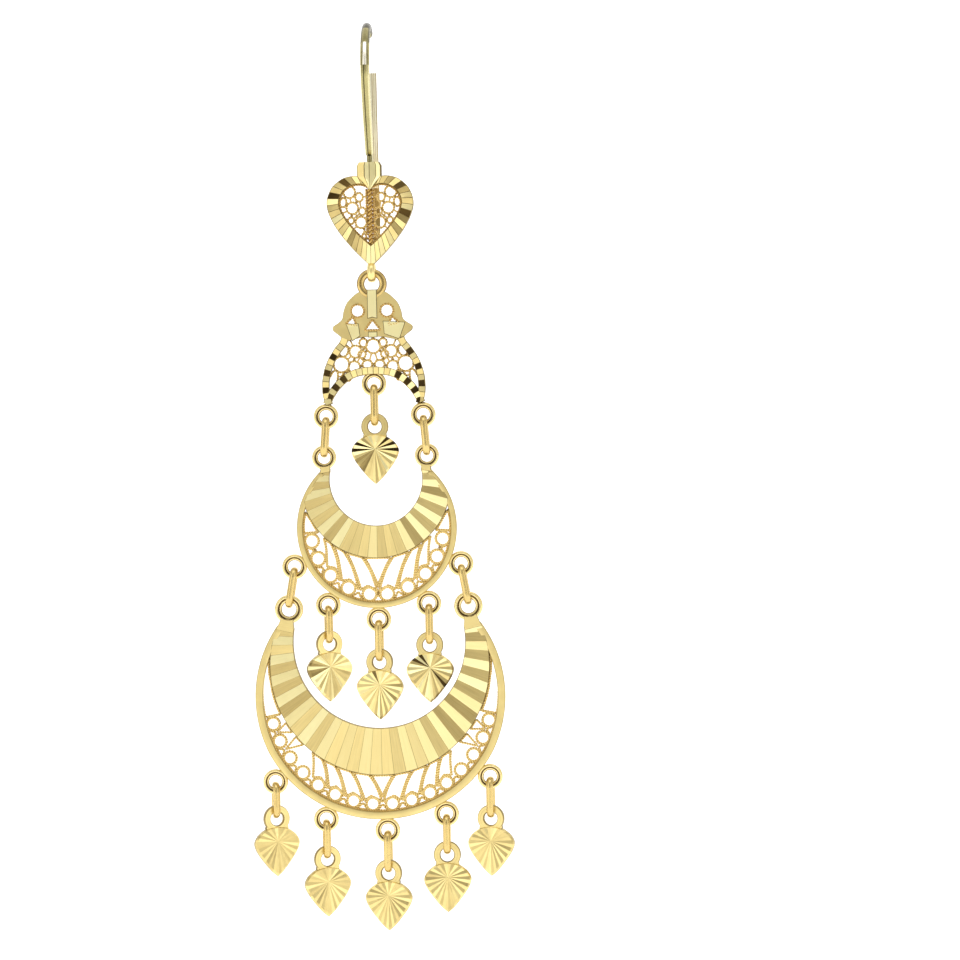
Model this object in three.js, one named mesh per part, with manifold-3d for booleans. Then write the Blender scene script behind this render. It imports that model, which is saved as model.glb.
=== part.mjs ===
// Chandelier earring in yellow gold: a bowed ear wire on a hinge, a fluted heart with a catch strip,
// a pierced crown, two pierced crescents and nine star-cut heart drops, joined by oval links.
// Millimetres, +Z up, front towards -Y. The origin is the underside of the ear wire's arch.

import * as THREE from 'three';
import { mergeVertices } from 'three/addons/utils/BufferGeometryUtils.js';
import Module from 'manifold-3d';

const wasm = await Module();
wasm.setup();

const DEG = Math.PI / 180;

// Clearance between pieces that touch on the real earring
const LINK_GAP = 0.06;
const HINGE_GAP = 0.15;

// Plate depths, along Y
const FLUTE_RIDGE = 0.48;
const FLUTE_VALLEY = 0.22;
const PLATE_BACK = 0.32;
const LATTICE_DEPTH = 0.36;
const WELD = 0.12;

// Ear wire: side view, from the neck up over the arch to the tip
const WIRE_THICK = 0.92;
const NECK_THICK = 0.56;
const WIRE_BOW = 3.9;
const ARCH_TIP_BACK = 2.8;
const WIRE_FOOT_DROP = 12.2;
const WIRE_SIDES = 8;
const WIRE_STEPS = 22;
// Shares of the bow and of the foot's drop, then of the tip's reach and of half the wire's thickness
const WIRE_FRONT_PATH = [
  { bow: 0.42, drop: 0.75 },
  { bow: 0.92, drop: 0.42 },
  { bow: 0.86, drop: 0.2 },
  { bow: 0.45, drop: 0.045 },
];
const WIRE_ARCH_PATH = [
  { back: 0.1, rise: 1 },
  { back: 0.62, rise: 0.75 },
  { back: 1, rise: -0.2 },
];

// Hinge between the ear wire and the heart
const HINGE_DROP = 13.6;
const HINGE_BACK = 0.45;
const PIN_THICK = 0.4;
const EYE_WIDTH = 0.6;
const EYE_WALL = 0.22;
const CHEEK_WIDTH = 0.3;
const CHEEK_DEPTH = 1.1;
const CHEEK_TALL = 1.95;

// Catch strip behind the heart. Its top lies under the ear wire's tip once that has turned to close.
const CLOSING_TURN = 25;
const TIP_OVERLAP = 0.29;
const TIP_CLEARANCE = 0.28;
const CATCH_WIDTH = 0.72;
const CATCH_THICK = 0.34;
const CATCH_REACH = 9.6;
const CATCH_STEPS = 20;
// Below the top: back as a share of the reach, down as a share of the way from the top to the foot
const CATCH_PATH = [
  { back: 0.85, down: 0.26 },
  { back: 0.92, down: 0.56 },
  { back: 1, down: 0.76 },
  { back: 0.86, down: 0.915 },
  { back: 0.5, down: 1 },
];

// Heart
const HEART_BELOW_HINGE = 0.85;
const HEART_HALF = 4.35;
const HEART_TALL = 9.1;
const HEART_OPEN_HALF = 3.15;
const HEART_OPEN_TALL = 6.2;
const HEART_BORDER_TOP = 0.8;
const HEART_FLUTES = 32;
const TAB_WIDTH = 2.5;
const TAB_TALL = 2.75;
const TAB_ABOVE = 1.35;
const TAB_FRONT = 0.62;
const CATCH_FOOT_DOWN = 7.83;
const HEART_LOOP_WIRE = 0.28;
const HEART_LOOP_WIDTH = 0.8;
const HEART_LOOP_BELOW = 0.54;

// Crown
const CROWN_RING_ABOVE = 0.8;
const CROWN_HALF = 5.15;
const CROWN_TALL = 11.4;
const CROWN_RING_SHIFT = 0.005;
const FLANK_WIDTH = 0.72;
const FLANK_FLUTES = 12;
const ARCH_WIDTH = 0.78;
const ARCH_FLUTES = 22;
const CROWN_PLATE_FRONT = 0.3;
const CROWN_BAR_WIDTH = 0.95;
const CROWN_BAR_TALL = 3.1;
const CROWN_BAR_FRONT = 0.42;
const BROW_STEPS = 18;

// The turn from straight down past which a crescent's rim draws in towards its horns
const SIDE_TURN = 62;

// Crescents: a top ring hangs this far below the ring that carries it and this far outside it, out from
// the rim's circle. The mouth lies this far inside the top rings and clears the drop that hangs in it.
// The lattice takes this share of the depth from mouth to rim, and the fan, which takes the rest, meets
// the rim at this turn. The horn, the fan and the solder stop short of the top ring by these turns. Petal
// wires rise to the fan from between the circles of the rim's row, each at its slant from straight up.
const SECOND_SHAPE = {
  hangs: 4.1,
  spread: 0.28,
  rimRadius: 8.0,
  rimWidth: 0.58,
  mouthInside: 0.5,
  mouthClears: 4.15,
  latticeShare: 0.576,
  fanMeetTurn: 106.6,
  hornShort: 8.25,
  hornDraw: 0,
  fanShort: 10.6,
  flutes: 28,
  circleRadius: 0.62,
  circleTurns: [7.6, 26.6, 45.6, 63.5, 79.8],
  petalSlants: [23, 20.5, 12, 6],
  topRing: { out: 0.81, radius: 0.92, wire: 0.3 },
  solder: { inward: 0.31, short: 5.3, radius: 0.52 },
};
const THIRD_SHAPE = {
  hangs: 4.24,
  spread: 0.64,
  rimRadius: 12.7,
  rimWidth: 0.76,
  mouthInside: 0.38,
  mouthClears: 0.84,
  latticeShare: 0.436,
  fanMeetTurn: 116.6,
  hornShort: 9.25,
  hornDraw: 0.45,
  fanShort: 11.0,
  flutes: 38,
  circleRadius: 0.58,
  circleTurns: [5, 15, 25, 35, 45, 55, 65, 74.5],
  petalSlants: [25, 16, 6, 1, -2.5, -5],
  topRing: { out: -0.37, radius: 1.08, wire: 0.36 },
  solder: { inward: 1.21, short: 6.1, radius: 0.6 },
};
const RIM_FRONT = 0.41;
const RIM_STEP_TURN = 6;
const LATTICE_STEPS = 24;
const LATTICE_WIRE = 0.26;
const PETAL_SHIFT = 0.3;
const APEX_SHORT = 4;
const APEX_STEPS = 4;

// Soldered rings, oval links and drops
const RING_RADIUS = 0.95;
const RING_WIRE = 0.3;
const CROWN_RING_RADIUS = 1.13;
const CROWN_RING_WIRE = 0.37;
const LINK_WIRE = 0.3;
const LINK_HALF_WIDTH = 0.99;
const DROP_HALF = 2.36;
const DROP_TALL = 5.0;
const DROP_EYE_RADIUS = 1.02;
const DROP_EYE_WIRE = 0.34;
const DROP_BELOW_EYE = 0.75;
const DROP_RIDGE = 0.46;
const DROP_VALLEY = 0.26;
const DROP_BACK = 0.3;
const DROP_FACETS = 24;
const ROUND_SIDES = 12;
const RING_STEPS = 12;
const RING_SIDES = 6;
const LINK_SIDES = 6;

// Rim rings of a crescent by their turn from straight down, and how far each drop is turned about
// the vertical and hangs below its ring, as a share of the ring's diameter
const SECOND_RIM_RINGS = [
  { turn: -66, carries: 'crescent' },
  { turn: -33.5, carries: 'drop', twist: 24, hang: 2.05 },
  { turn: 0, carries: 'drop', twist: -8, hang: 2.25 },
  { turn: 33.5, carries: 'drop', twist: 0, hang: 2.2 },
  { turn: 66, carries: 'crescent' },
];
const THIRD_RIM_RINGS = [
  { turn: -50.6, carries: 'drop', twist: 26, hang: 1.95 },
  { turn: -24.2, carries: 'drop', twist: 20, hang: 2.1 },
  { turn: 1.9, carries: 'drop', twist: -8, hang: 2.25 },
  { turn: 27.4, carries: 'drop', twist: 0, hang: 2.15 },
  { turn: 51.4, carries: 'drop', twist: -12, hang: 2.2 },
];
const CROWN_DROP = { twist: 0, hang: 2.25 };

// Half outline of a heart: across as a share of its half width, down as a share of its height
const HEART_OUTLINE = [
  { across: 0.0, down: 0.07 },
  { across: 0.2, down: 0.012 },
  { across: 0.43, down: 0.0 },
  { across: 0.68, down: 0.04 },
  { across: 0.9, down: 0.14 },
  { across: 1.0, down: 0.29 },
  { across: 0.93, down: 0.44 },
  { across: 0.72, down: 0.62 },
  { across: 0.38, down: 0.82 },
  { across: 0.0, down: 1.0 },
];

// Half outline of a drop under its eyelet: a narrow neck, round shoulders and a pointed tip
const DROP_OUTLINE = [
  { across: 0.0, down: 0.0 },
  { across: 0.3, down: 0.02 },
  { across: 0.52, down: 0.06 },
  { across: 0.68, down: 0.11 },
  { across: 0.87, down: 0.19 },
  { across: 1.0, down: 0.31 },
  { across: 0.97, down: 0.42 },
  { across: 0.82, down: 0.56 },
  { across: 0.54, down: 0.74 },
  { across: 0.25, down: 0.9 },
  { across: 0.0, down: 1.0 },
];

// Half outline of the heart's tab, down to the point of its leaf
const TAB_OUTLINE = [
  { across: 0.84, down: 0 },
  { across: 1, down: 0.136 },
  { across: 1, down: 0.545 },
  { across: 0, down: 1 },
];

// Half outline of the crown: across in its half width, down in its height
const CROWN_BROW = [
  { across: 0.0, down: -0.01 },
  { across: 0.25, down: 0.0 },
  { across: 0.41, down: 0.053 },
  { across: 0.5, down: 0.1 },
  { across: 0.56, down: 0.17 },
  { across: 0.59, down: 0.235 },
  { across: 0.68, down: 0.272 },
  { across: 0.77, down: 0.3 },
  { across: 0.765, down: 0.335 },
  { across: 0.67, down: 0.37 },
  { across: 0.61, down: 0.395 },
];
const CROWN_FLANK = [
  { across: 0.61, down: 0.395 },
  { across: 0.64, down: 0.43 },
  { across: 0.73, down: 0.48 },
  { across: 0.86, down: 0.57 },
  { across: 0.945, down: 0.66 },
  { across: 0.995, down: 0.76 },
  { across: 1.0, down: 0.88 },
  { across: 0.94, down: 0.99 },
];
const CROWN_ARCH = [
  { across: 0.85, down: 0.99 },
  { across: 0.78, down: 0.92 },
  { across: 0.66, down: 0.845 },
  { across: 0.485, down: 0.775 },
  { across: 0.27, down: 0.735 },
  { across: 0.0, down: 0.722 },
];

// Pierced gaps, each mirrored unless it lies on the axis. Places and sizes are shares: across, long
// and wide of the half width, down of the height. A gap with 3 corners points its first one up.
const HEART_GAPS = [
  { across: 0.635, down: 0.13, long: 0.15, wide: 0.15, turn: 0, corners: 10 },
  { across: 0.51, down: 0.39, long: 0.15, wide: 0.15, turn: 0, corners: 10 },
  { across: 0.27, down: 0.615, long: 0.145, wide: 0.14, turn: 0, corners: 10 },
  { across: 0.34, down: 0.2, long: 0.125, wide: 0.11, turn: 0, corners: 8 },
  { across: 0.22, down: 0.43, long: 0.11, wide: 0.08, turn: 0, corners: 6 },
  { across: 0.86, down: 0.27, long: 0.17, wide: 0.07, turn: 0, corners: 6 },
  { across: 0.54, down: 0.575, long: 0.08, wide: 0.07, turn: 180, corners: 3 },
  { across: 0.19, down: 0.82, long: 0.17, wide: 0.1, turn: 10, corners: 3 },
];
const CROWN_GAPS = [
  { across: 0.285, down: 0.165, long: 0.12, wide: 0.12, turn: 0, corners: 10 },
  { across: 0.4, down: 0.265, long: 0.1, wide: 0.115, turn: 12, corners: 3 },
  { across: 0.0, down: 0.31, long: 0.125, wide: 0.17, turn: 0, corners: 3 },
  { across: 0.0, down: 0.48, long: 0.125, wide: 0.125, turn: 0, corners: 10 },
  { across: 0.365, down: 0.525, long: 0.11, wide: 0.11, turn: 0, corners: 10 },
  { across: 0.63, down: 0.64, long: 0.14, wide: 0.14, turn: 0, corners: 10 },
  { across: 0.12, down: 0.62, long: 0.08, wide: 0.09, turn: 0, corners: 6 },
  { across: 0.195, down: 0.445, long: 0.085, wide: 0.08, turn: 180, corners: 3 },
  { across: 0.565, down: 0.515, long: 0.095, wide: 0.08, turn: 180, corners: 3 },
  { across: 0.375, down: 0.655, long: 0.11, wide: 0.11, turn: 0, corners: 3 },
  { across: 0.8, down: 0.77, long: 0.24, wide: 0.09, turn: 20, corners: 6 },
];

// Places worked out down the chain, from the hinge to the lowest crescent

const HEART_TOP = -HINGE_DROP - HEART_BELOW_HINGE;
const TAB_TOP = HEART_TOP + TAB_ABOVE;
const HEART_LOOP_RADIUS = CROWN_RING_WIRE + 1.5 * LINK_GAP + HEART_LOOP_WIRE;
const HEART_LOOP_Z = HEART_TOP - HEART_TALL - HEART_LOOP_BELOW;
const CROWN_RING_TOP = HEART_LOOP_Z - HEART_LOOP_RADIUS + HEART_LOOP_WIRE + LINK_GAP + CROWN_RING_WIRE;
const CROWN_RING_Z = CROWN_RING_TOP - CROWN_RING_RADIUS;
const CROWN_TOP = CROWN_RING_Z - CROWN_RING_ABOVE;
const CROWN_LOW_RING = new THREE.Vector2(
  CROWN_HALF * (CROWN_FLANK[CROWN_FLANK.length - 1].across + CROWN_RING_SHIFT),
  CROWN_TOP - CROWN_TALL - RING_RADIUS,
);
const CROWN_DROP_RING = new THREE.Vector2(
  0,
  CROWN_TOP - CROWN_TALL * CROWN_ARCH[CROWN_ARCH.length - 1].down - RING_RADIUS,
);

// A crescent placed under the outer ring that carries it, with its horns run up to its top rings and its
// mouth clear of the drop whose tip comes down inside it
function hungUnder(upper, dropTip, tier) {
  const across = upper.x + tier.spread;
  const ringReach = tier.rimRadius + tier.topRing.out;
  const rise = Math.sqrt(ringReach ** 2 - across ** 2);
  const ringTurn = 180 - Math.asin(across / ringReach) / DEG;
  const rimDrop = upper.y - tier.hangs - rise;
  const mouthRadius = across - tier.mouthInside;
  const mouthLow = dropTip - tier.mouthClears - rimDrop;
  const mouthRise = mouthLow + mouthRadius;
  const mouthTurn = 90 + Math.atan2(rise - mouthRise, across) / DEG;
  const rimInside = tier.rimRadius - tier.rimWidth;
  const fanLow = rimInside - tier.latticeShare * (rimInside + mouthLow);
  const fanMeet = onCircle(rimInside, tier.fanMeetTurn, 0);
  const fanRise = (rimInside ** 2 - fanLow ** 2) / (2 * (fanLow + fanMeet.y));
  return {
    ...tier,
    rimDrop,
    rimInside,
    mouthRadius,
    mouthRise,
    fanRise,
    fanRadius: fanRise + fanLow,
    hornTurn: ringTurn - tier.hornShort,
    hornFan: mouthTurn - tier.fanShort,
    topRing: { ...tier.topRing, across, rise },
    solder: { ...tier.solder, turn: ringTurn - tier.solder.short },
  };
}

// A point on a circle about a centre on the axis, by its turn from straight down
function onCircle(radius, turn, centre) {
  return new THREE.Vector2(Math.sin(turn * DEG) * radius, centre - Math.cos(turn * DEG) * radius);
}

function rimRingPlace(tier, turn) {
  return onCircle(tier.rimRadius + RING_RADIUS + RING_WIRE - WELD, turn, tier.rimDrop);
}

// Where the eyelet of a drop hangs under its ring, and how low its tip comes
function eyeUnder(place, row) {
  return new THREE.Vector2(place.x, place.y - row.hang * 2 * RING_RADIUS);
}

function tipUnder(place, row) {
  return eyeUnder(place, row).y - DROP_BELOW_EYE - DROP_TALL;
}

const SECOND = hungUnder(CROWN_LOW_RING, tipUnder(CROWN_DROP_RING, CROWN_DROP), SECOND_SHAPE);
const SECOND_OUTER_RING = rimRingPlace(SECOND, SECOND_RIM_RINGS[SECOND_RIM_RINGS.length - 1].turn);
const SECOND_MIDDLE = SECOND_RIM_RINGS[(SECOND_RIM_RINGS.length - 1) / 2];
const THIRD = hungUnder(
  SECOND_OUTER_RING,
  tipUnder(rimRingPlace(SECOND, SECOND_MIDDLE.turn), SECOND_MIDDLE),
  THIRD_SHAPE,
);

// Solids

function toSolid(geometry) {
  const bare = geometry.clone();
  bare.deleteAttribute('normal');
  bare.deleteAttribute('uv');
  const merged = mergeVertices(bare, 1e-5);
  const place = merged.attributes.position;
  const index = Array.from(merged.index.array);
  if (signedVolume(place, index) < 0) {
    for (let i = 0; i < index.length; i += 3) {
      [index[i], index[i + 1]] = [index[i + 1], index[i]];
    }
  }
  const mesh = new wasm.Mesh({
    numProp: 3,
    vertProperties: Float32Array.from(place.array),
    triVerts: Uint32Array.from(index),
  });
  return new wasm.Manifold(mesh);
}

function signedVolume(place, index) {
  const corners = [new THREE.Vector3(), new THREE.Vector3(), new THREE.Vector3()];
  let total = 0;
  for (let i = 0; i < index.length; i += 3) {
    corners.forEach((corner, k) => corner.fromBufferAttribute(place, index[i + k]));
    total += corners[0].dot(corners[1].clone().cross(corners[2]));
  }
  return total;
}

function toGeometry(solid) {
  const mesh = solid.getMesh();
  const geometry = new THREE.BufferGeometry();
  geometry.setAttribute('position', new THREE.BufferAttribute(mesh.vertProperties, 3));
  geometry.setIndex(new THREE.BufferAttribute(mesh.triVerts, 1));
  geometry.computeVertexNormals();
  return geometry;
}

function joined(pieces) {
  return pieces.reduce((whole, piece) => whole.add(piece));
}

// A flat plate in the XZ plane between two depths
function plate(outline, front, back) {
  const shape = new THREE.Shape(outline);
  const geometry = new THREE.ExtrudeGeometry(shape, { depth: front + back, bevelEnabled: false });
  geometry.rotateX(Math.PI / 2);
  geometry.translate(0, back, 0);
  return toSolid(geometry);
}

// A plate with gaps cut right through
function piercedPlate(outline, gaps, front, back) {
  const whole = plate(outline, front, back);
  return gaps.reduce((left, gap) => left.subtract(plate(gap, front + WELD, back + WELD)), whole);
}

// A strip between two rows of stations, its front folded into flutes: odd stations lie deeper
function flutedStrip(outer, inner, closed) {
  const corners = [];
  outer.forEach((point, i) => {
    const front = -(i % 2 ? FLUTE_VALLEY : FLUTE_RIDGE);
    corners.push([point.x, front, point.y], [inner[i].x, front, inner[i].y]);
    corners.push([inner[i].x, PLATE_BACK, inner[i].y], [point.x, PLATE_BACK, point.y]);
  });
  const index = [];
  const count = outer.length;
  for (let i = 0; i < (closed ? count : count - 1); i += 1) {
    const here = 4 * i;
    const next = 4 * ((i + 1) % count);
    for (let side = 0; side < 4; side += 1) {
      const other = (side + 1) % 4;
      index.push(here + side, here + other, next + other, here + side, next + other, next + side);
    }
  }
  if (!closed) {
    const end = 4 * (count - 1);
    index.push(0, 2, 1, 0, 3, 2, end, end + 1, end + 2, end, end + 2, end + 3);
  }
  return fromCorners(corners, index);
}

function fromCorners(corners, index) {
  const geometry = new THREE.BufferGeometry();
  geometry.setAttribute('position', new THREE.Float32BufferAttribute(corners.flat(), 3));
  geometry.setIndex(index);
  return toSolid(geometry);
}

// A round wire ring standing in the XZ plane
function ring(centre, radius, wire) {
  const geometry = new THREE.TorusGeometry(radius, wire, RING_SIDES, RING_STEPS);
  geometry.rotateX(Math.PI / 2);
  geometry.translate(centre.x, 0, centre.y);
  return toSolid(geometry);
}

function box(left, right, front, back, low, high) {
  const geometry = new THREE.BoxGeometry(right - left, back - front, high - low);
  geometry.translate((left + right) / 2, (front + back) / 2, (low + high) / 2);
  return toSolid(geometry);
}

// A wire of even section along a path in the YZ plane, given as { back, drop } pairs
function sideWire(path, section, steps) {
  const curve = new THREE.CatmullRomCurve3(path.map((p) => new THREE.Vector3(0, p.back, -p.drop)));
  return toSolid(new THREE.ExtrudeGeometry(section, { steps, extrudePath: curve, bevelEnabled: false }));
}

function roundSection(thick, sides) {
  const points = [];
  for (let i = 0; i < sides; i += 1) {
    const turn = ((i + 0.5) / sides) * 2 * Math.PI;
    points.push(new THREE.Vector2(Math.cos(turn) * thick / 2, Math.sin(turn) * thick / 2));
  }
  return new THREE.Shape(points);
}

// Outlines

// Even samples along a smooth curve through the table's points, mirrored onto the left side
function halfCurve(table, half, tall, top, count) {
  const points = table.map((row) => new THREE.Vector2(row.across * half, top - row.down * tall));
  return new THREE.SplineCurve(points).getSpacedPoints(count);
}

function mirrored(points) {
  return points.map((point) => new THREE.Vector2(-point.x, point.y)).reverse();
}

function wholeOutline(half) {
  return [...half, ...mirrored(half).slice(1, -1)];
}

function gapShape(centre, long, wide, turn, corners) {
  const points = [];
  for (let i = 0; i < corners; i += 1) {
    const around = (i / corners) * 2 * Math.PI;
    const point = new THREE.Vector2(Math.sin(around) * wide, Math.cos(around) * long);
    points.push(point.rotateAround(new THREE.Vector2(), turn * DEG).add(centre));
  }
  return points;
}

function gapsFromTable(table, half, tall, top) {
  return table.flatMap((row) => {
    const sides = row.across === 0 ? [1] : [1, -1];
    return sides.map((side) => {
      const centre = new THREE.Vector2(side * row.across * half, top - row.down * tall);
      return gapShape(centre, row.long * half, row.wide * half, side * row.turn, row.corners);
    });
  });
}

// Inner edge of a strip that follows a curve at an even width, towards the given side
function offset(points, width, side) {
  return points.map((point, i) => {
    const before = points[Math.max(i - 1, 0)];
    const after = points[Math.min(i + 1, points.length - 1)];
    const along = after.clone().sub(before).normalize();
    return point.clone().add(new THREE.Vector2(-along.y, along.x).multiplyScalar(side * width));
  });
}

// Pieces

function earWire() {
  const bow = [
    { back: HINGE_BACK, drop: WIRE_FOOT_DROP },
    ...WIRE_FRONT_PATH.map((row) => ({ back: -WIRE_BOW * row.bow, drop: WIRE_FOOT_DROP * row.drop })),
    ...WIRE_ARCH_PATH.map((row) => ({ back: ARCH_TIP_BACK * row.back, drop: -WIRE_THICK / 2 * row.rise })),
  ];
  const eyeRadius = PIN_THICK / 2 + HINGE_GAP + EYE_WALL;
  const neck = box(-EYE_WIDTH / 2, EYE_WIDTH / 2, HINGE_BACK - NECK_THICK / 2,
    HINGE_BACK + NECK_THICK / 2, -HINGE_DROP + eyeRadius - EYE_WALL / 2, -WIRE_FOOT_DROP + WELD);
  const eye = crossCylinder(eyeRadius, EYE_WIDTH);
  const bore = crossCylinder(PIN_THICK / 2 + HINGE_GAP, EYE_WIDTH * 2);
  const wire = sideWire(bow, roundSection(WIRE_THICK, WIRE_SIDES), WIRE_STEPS);
  return toGeometry(joined([wire, neck, eye]).subtract(bore));
}

// Where the middle of the ear wire's tip comes to when the wire is turned back onto the catch
function closedTip() {
  const tip = WIRE_ARCH_PATH[WIRE_ARCH_PATH.length - 1];
  const place = new THREE.Vector2(ARCH_TIP_BACK * tip.back, WIRE_THICK / 2 * tip.rise);
  const hinge = new THREE.Vector2(HINGE_BACK, -HINGE_DROP);
  place.rotateAround(hinge, -CLOSING_TURN * DEG);
  return { back: place.x, drop: -place.y };
}

// A cylinder lying along X on the hinge's axis
function crossCylinder(radius, width) {
  const geometry = new THREE.CylinderGeometry(radius, radius, width, ROUND_SIDES);
  geometry.rotateZ(Math.PI / 2);
  geometry.translate(0, HINGE_BACK, -HINGE_DROP);
  return toSolid(geometry);
}

function heartCurve(half, tall, top) {
  return wholeOutline(halfCurve(HEART_OUTLINE, half, tall, top, HEART_FLUTES / 2));
}

function heart() {
  const openTop = HEART_TOP - HEART_BORDER_TOP;
  const outer = heartCurve(HEART_HALF, HEART_TALL, HEART_TOP);
  const inner = heartCurve(HEART_OPEN_HALF, HEART_OPEN_TALL, openTop);
  const lattice = heartCurve(HEART_OPEN_HALF + WELD, HEART_OPEN_TALL + 2 * WELD, openTop + WELD);
  const gaps = gapsFromTable(HEART_GAPS, HEART_OPEN_HALF, HEART_OPEN_TALL, openTop);
  const filigree = piercedPlate(lattice, gaps, LATTICE_DEPTH / 2, LATTICE_DEPTH / 2);
  return toGeometry(joined([
    flutedStrip(outer, inner, true), filigree, heartTab(), heartLoop(), ...hingeCheeks(),
    crossCylinder(PIN_THICK / 2, EYE_WIDTH + 2 * (HINGE_GAP + CHEEK_WIDTH / 2)), catchStrip(),
  ]));
}

function heartTab() {
  const half = TAB_OUTLINE.map((row) => {
    return new THREE.Vector2(row.across * TAB_WIDTH / 2, TAB_TOP - row.down * TAB_TALL);
  });
  return plate([...half, ...mirrored(half).slice(1)], TAB_FRONT, -LATTICE_DEPTH / 2 - HINGE_GAP);
}

// Two cheeks behind the tab hold the pin, clear of the ear wire's eye
function hingeCheeks() {
  const near = EYE_WIDTH / 2 + HINGE_GAP;
  const high = TAB_TOP - HINGE_GAP;
  return [1, -1].map((side) => {
    const edges = [side * near, side * (near + CHEEK_WIDTH)].sort((a, b) => a - b);
    return box(edges[0], edges[1], -TAB_FRONT / 2 - WELD, CHEEK_DEPTH, high - CHEEK_TALL, high);
  });
}

// The heart's bottom loop stands across the crown's top ring and carries it
function heartLoop() {
  const geometry = new THREE.TorusGeometry(HEART_LOOP_RADIUS, HEART_LOOP_WIRE, RING_SIDES, RING_STEPS);
  geometry.scale(1, 1, HEART_LOOP_WIDTH / (2 * HEART_LOOP_WIRE));
  geometry.rotateX(Math.PI / 2);
  geometry.rotateZ(Math.PI / 2);
  geometry.translate(0, 0, HEART_LOOP_Z);
  return toSolid(geometry);
}

// The strip drops from its flat top, bows back and comes in to its foot behind the heart
function catchStrip() {
  const tip = closedTip();
  const top = tip.drop + WIRE_THICK / 2 + TIP_CLEARANCE;
  const foot = -HEART_TOP + CATCH_FOOT_DOWN;
  const path = [
    { back: tip.back - TIP_OVERLAP, drop: top },
    ...CATCH_PATH.map((row) => ({ back: CATCH_REACH * row.back, drop: top + (foot - top) * row.down })),
    { back: PLATE_BACK - WELD, drop: foot + WELD },
  ];
  const flat = new THREE.Shape([
    new THREE.Vector2(-CATCH_THICK / 2, -CATCH_WIDTH / 2),
    new THREE.Vector2(CATCH_THICK / 2, -CATCH_WIDTH / 2),
    new THREE.Vector2(CATCH_THICK / 2, CATCH_WIDTH / 2),
    new THREE.Vector2(-CATCH_THICK / 2, CATCH_WIDTH / 2),
  ]);
  return sideWire(path, flat, CATCH_STEPS);
}

function crown() {
  const brow = halfCurve(CROWN_BROW, CROWN_HALF, CROWN_TALL, CROWN_TOP, BROW_STEPS);
  const flank = halfCurve(CROWN_FLANK, CROWN_HALF, CROWN_TALL, CROWN_TOP, FLANK_FLUTES);
  const arch = halfCurve(CROWN_ARCH, CROWN_HALF, CROWN_TALL, CROWN_TOP, ARCH_FLUTES / 2);
  const wholeArch = [...arch, ...mirrored(arch).slice(1)];
  const gaps = gapsFromTable(CROWN_GAPS, CROWN_HALF, CROWN_TALL, CROWN_TOP);
  const outline = wholeOutline([...brow, ...flank.slice(1), ...arch]);
  const leftFlank = mirrored(flank);
  const barHalf = CROWN_BAR_WIDTH / 2;
  return toGeometry(joined([
    piercedPlate(outline, gaps, CROWN_PLATE_FRONT, PLATE_BACK),
    box(-barHalf, barHalf, -CROWN_BAR_FRONT, 0, CROWN_TOP - CROWN_BAR_TALL, CROWN_TOP),
    flutedStrip(flank, offset(flank, FLANK_WIDTH, -1), false),
    flutedStrip(leftFlank, offset(leftFlank, FLANK_WIDTH, -1), false),
    flutedStrip(wholeArch, offset(wholeArch, ARCH_WIDTH, -1), false),
    ring(new THREE.Vector2(0, CROWN_RING_Z), CROWN_RING_RADIUS, CROWN_RING_WIRE),
    ring(CROWN_DROP_RING, RING_RADIUS, RING_WIRE),
    ring(CROWN_LOW_RING, RING_RADIUS, RING_WIRE),
    ring(new THREE.Vector2(-CROWN_LOW_RING.x, CROWN_LOW_RING.y), RING_RADIUS, RING_WIRE),
  ]));
}

// How far from the point (0, rise) a ray at this turn meets a circle about (0, circleRise)
function reach(turn, rise, circleRise, radius) {
  const lift = rise - circleRise;
  const along = Math.cos(turn * DEG) * lift;
  return along + Math.sqrt(along * along - lift * lift + radius * radius);
}

// The fan runs round the mouth; its outer edge is the fan circle, or the rim where that is nearer
function crescentFan(tier) {
  const inner = [];
  const outer = [];
  const rimMiddle = tier.rimRadius - tier.rimWidth / 2;
  const centre = tier.rimDrop + tier.mouthRise;
  for (let i = 0; i <= tier.flutes; i += 1) {
    const turn = -tier.hornFan + (2 * tier.hornFan * i) / tier.flutes;
    const fan = reach(turn, tier.mouthRise, tier.fanRise, tier.fanRadius);
    const rim = reach(turn, tier.mouthRise, 0, rimMiddle);
    inner.push(onCircle(tier.mouthRadius, turn, centre));
    outer.push(onCircle(Math.min(fan, rim), turn, centre));
  }
  return flutedStrip(outer, inner, false);
}

function crescentRim(tier) {
  const outer = [];
  const inner = [];
  const steps = 2 * Math.round(tier.hornTurn / RIM_STEP_TURN);
  for (let i = 0; i <= steps; i += 1) {
    const turn = -tier.hornTurn + (2 * tier.hornTurn * i) / steps;
    const radius = tier.rimRadius - tier.hornDraw * Math.max(Math.abs(turn) / SIDE_TURN - 1, 0);
    outer.push(onCircle(radius, turn, tier.rimDrop));
    inner.push(onCircle(radius - tier.rimWidth, turn, tier.rimDrop));
  }
  const outline = [...outer, ...inner.reverse()];
  return plate(outline, RIM_FRONT, PLATE_BACK);
}

// The lattice fills the lune between the fan circle and the rim
function crescentLattice(tier) {
  const { rimInside } = tier;
  const outer = [];
  const inner = [];
  for (let i = 0; i <= LATTICE_STEPS; i += 1) {
    const turn = tier.fanMeetTurn * ((2 * i) / LATTICE_STEPS - 1);
    const fanEdge = reach(turn, 0, tier.fanRise, tier.fanRadius);
    outer.push(onCircle(rimInside + WELD, turn, tier.rimDrop));
    inner.push(onCircle(Math.min(fanEdge, rimInside) - WELD, turn, tier.rimDrop));
  }
  const lune = [...outer, ...inner.reverse()];
  return piercedPlate(lune, crescentGaps(tier), LATTICE_DEPTH / 2, LATTICE_DEPTH / 2);
}

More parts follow.
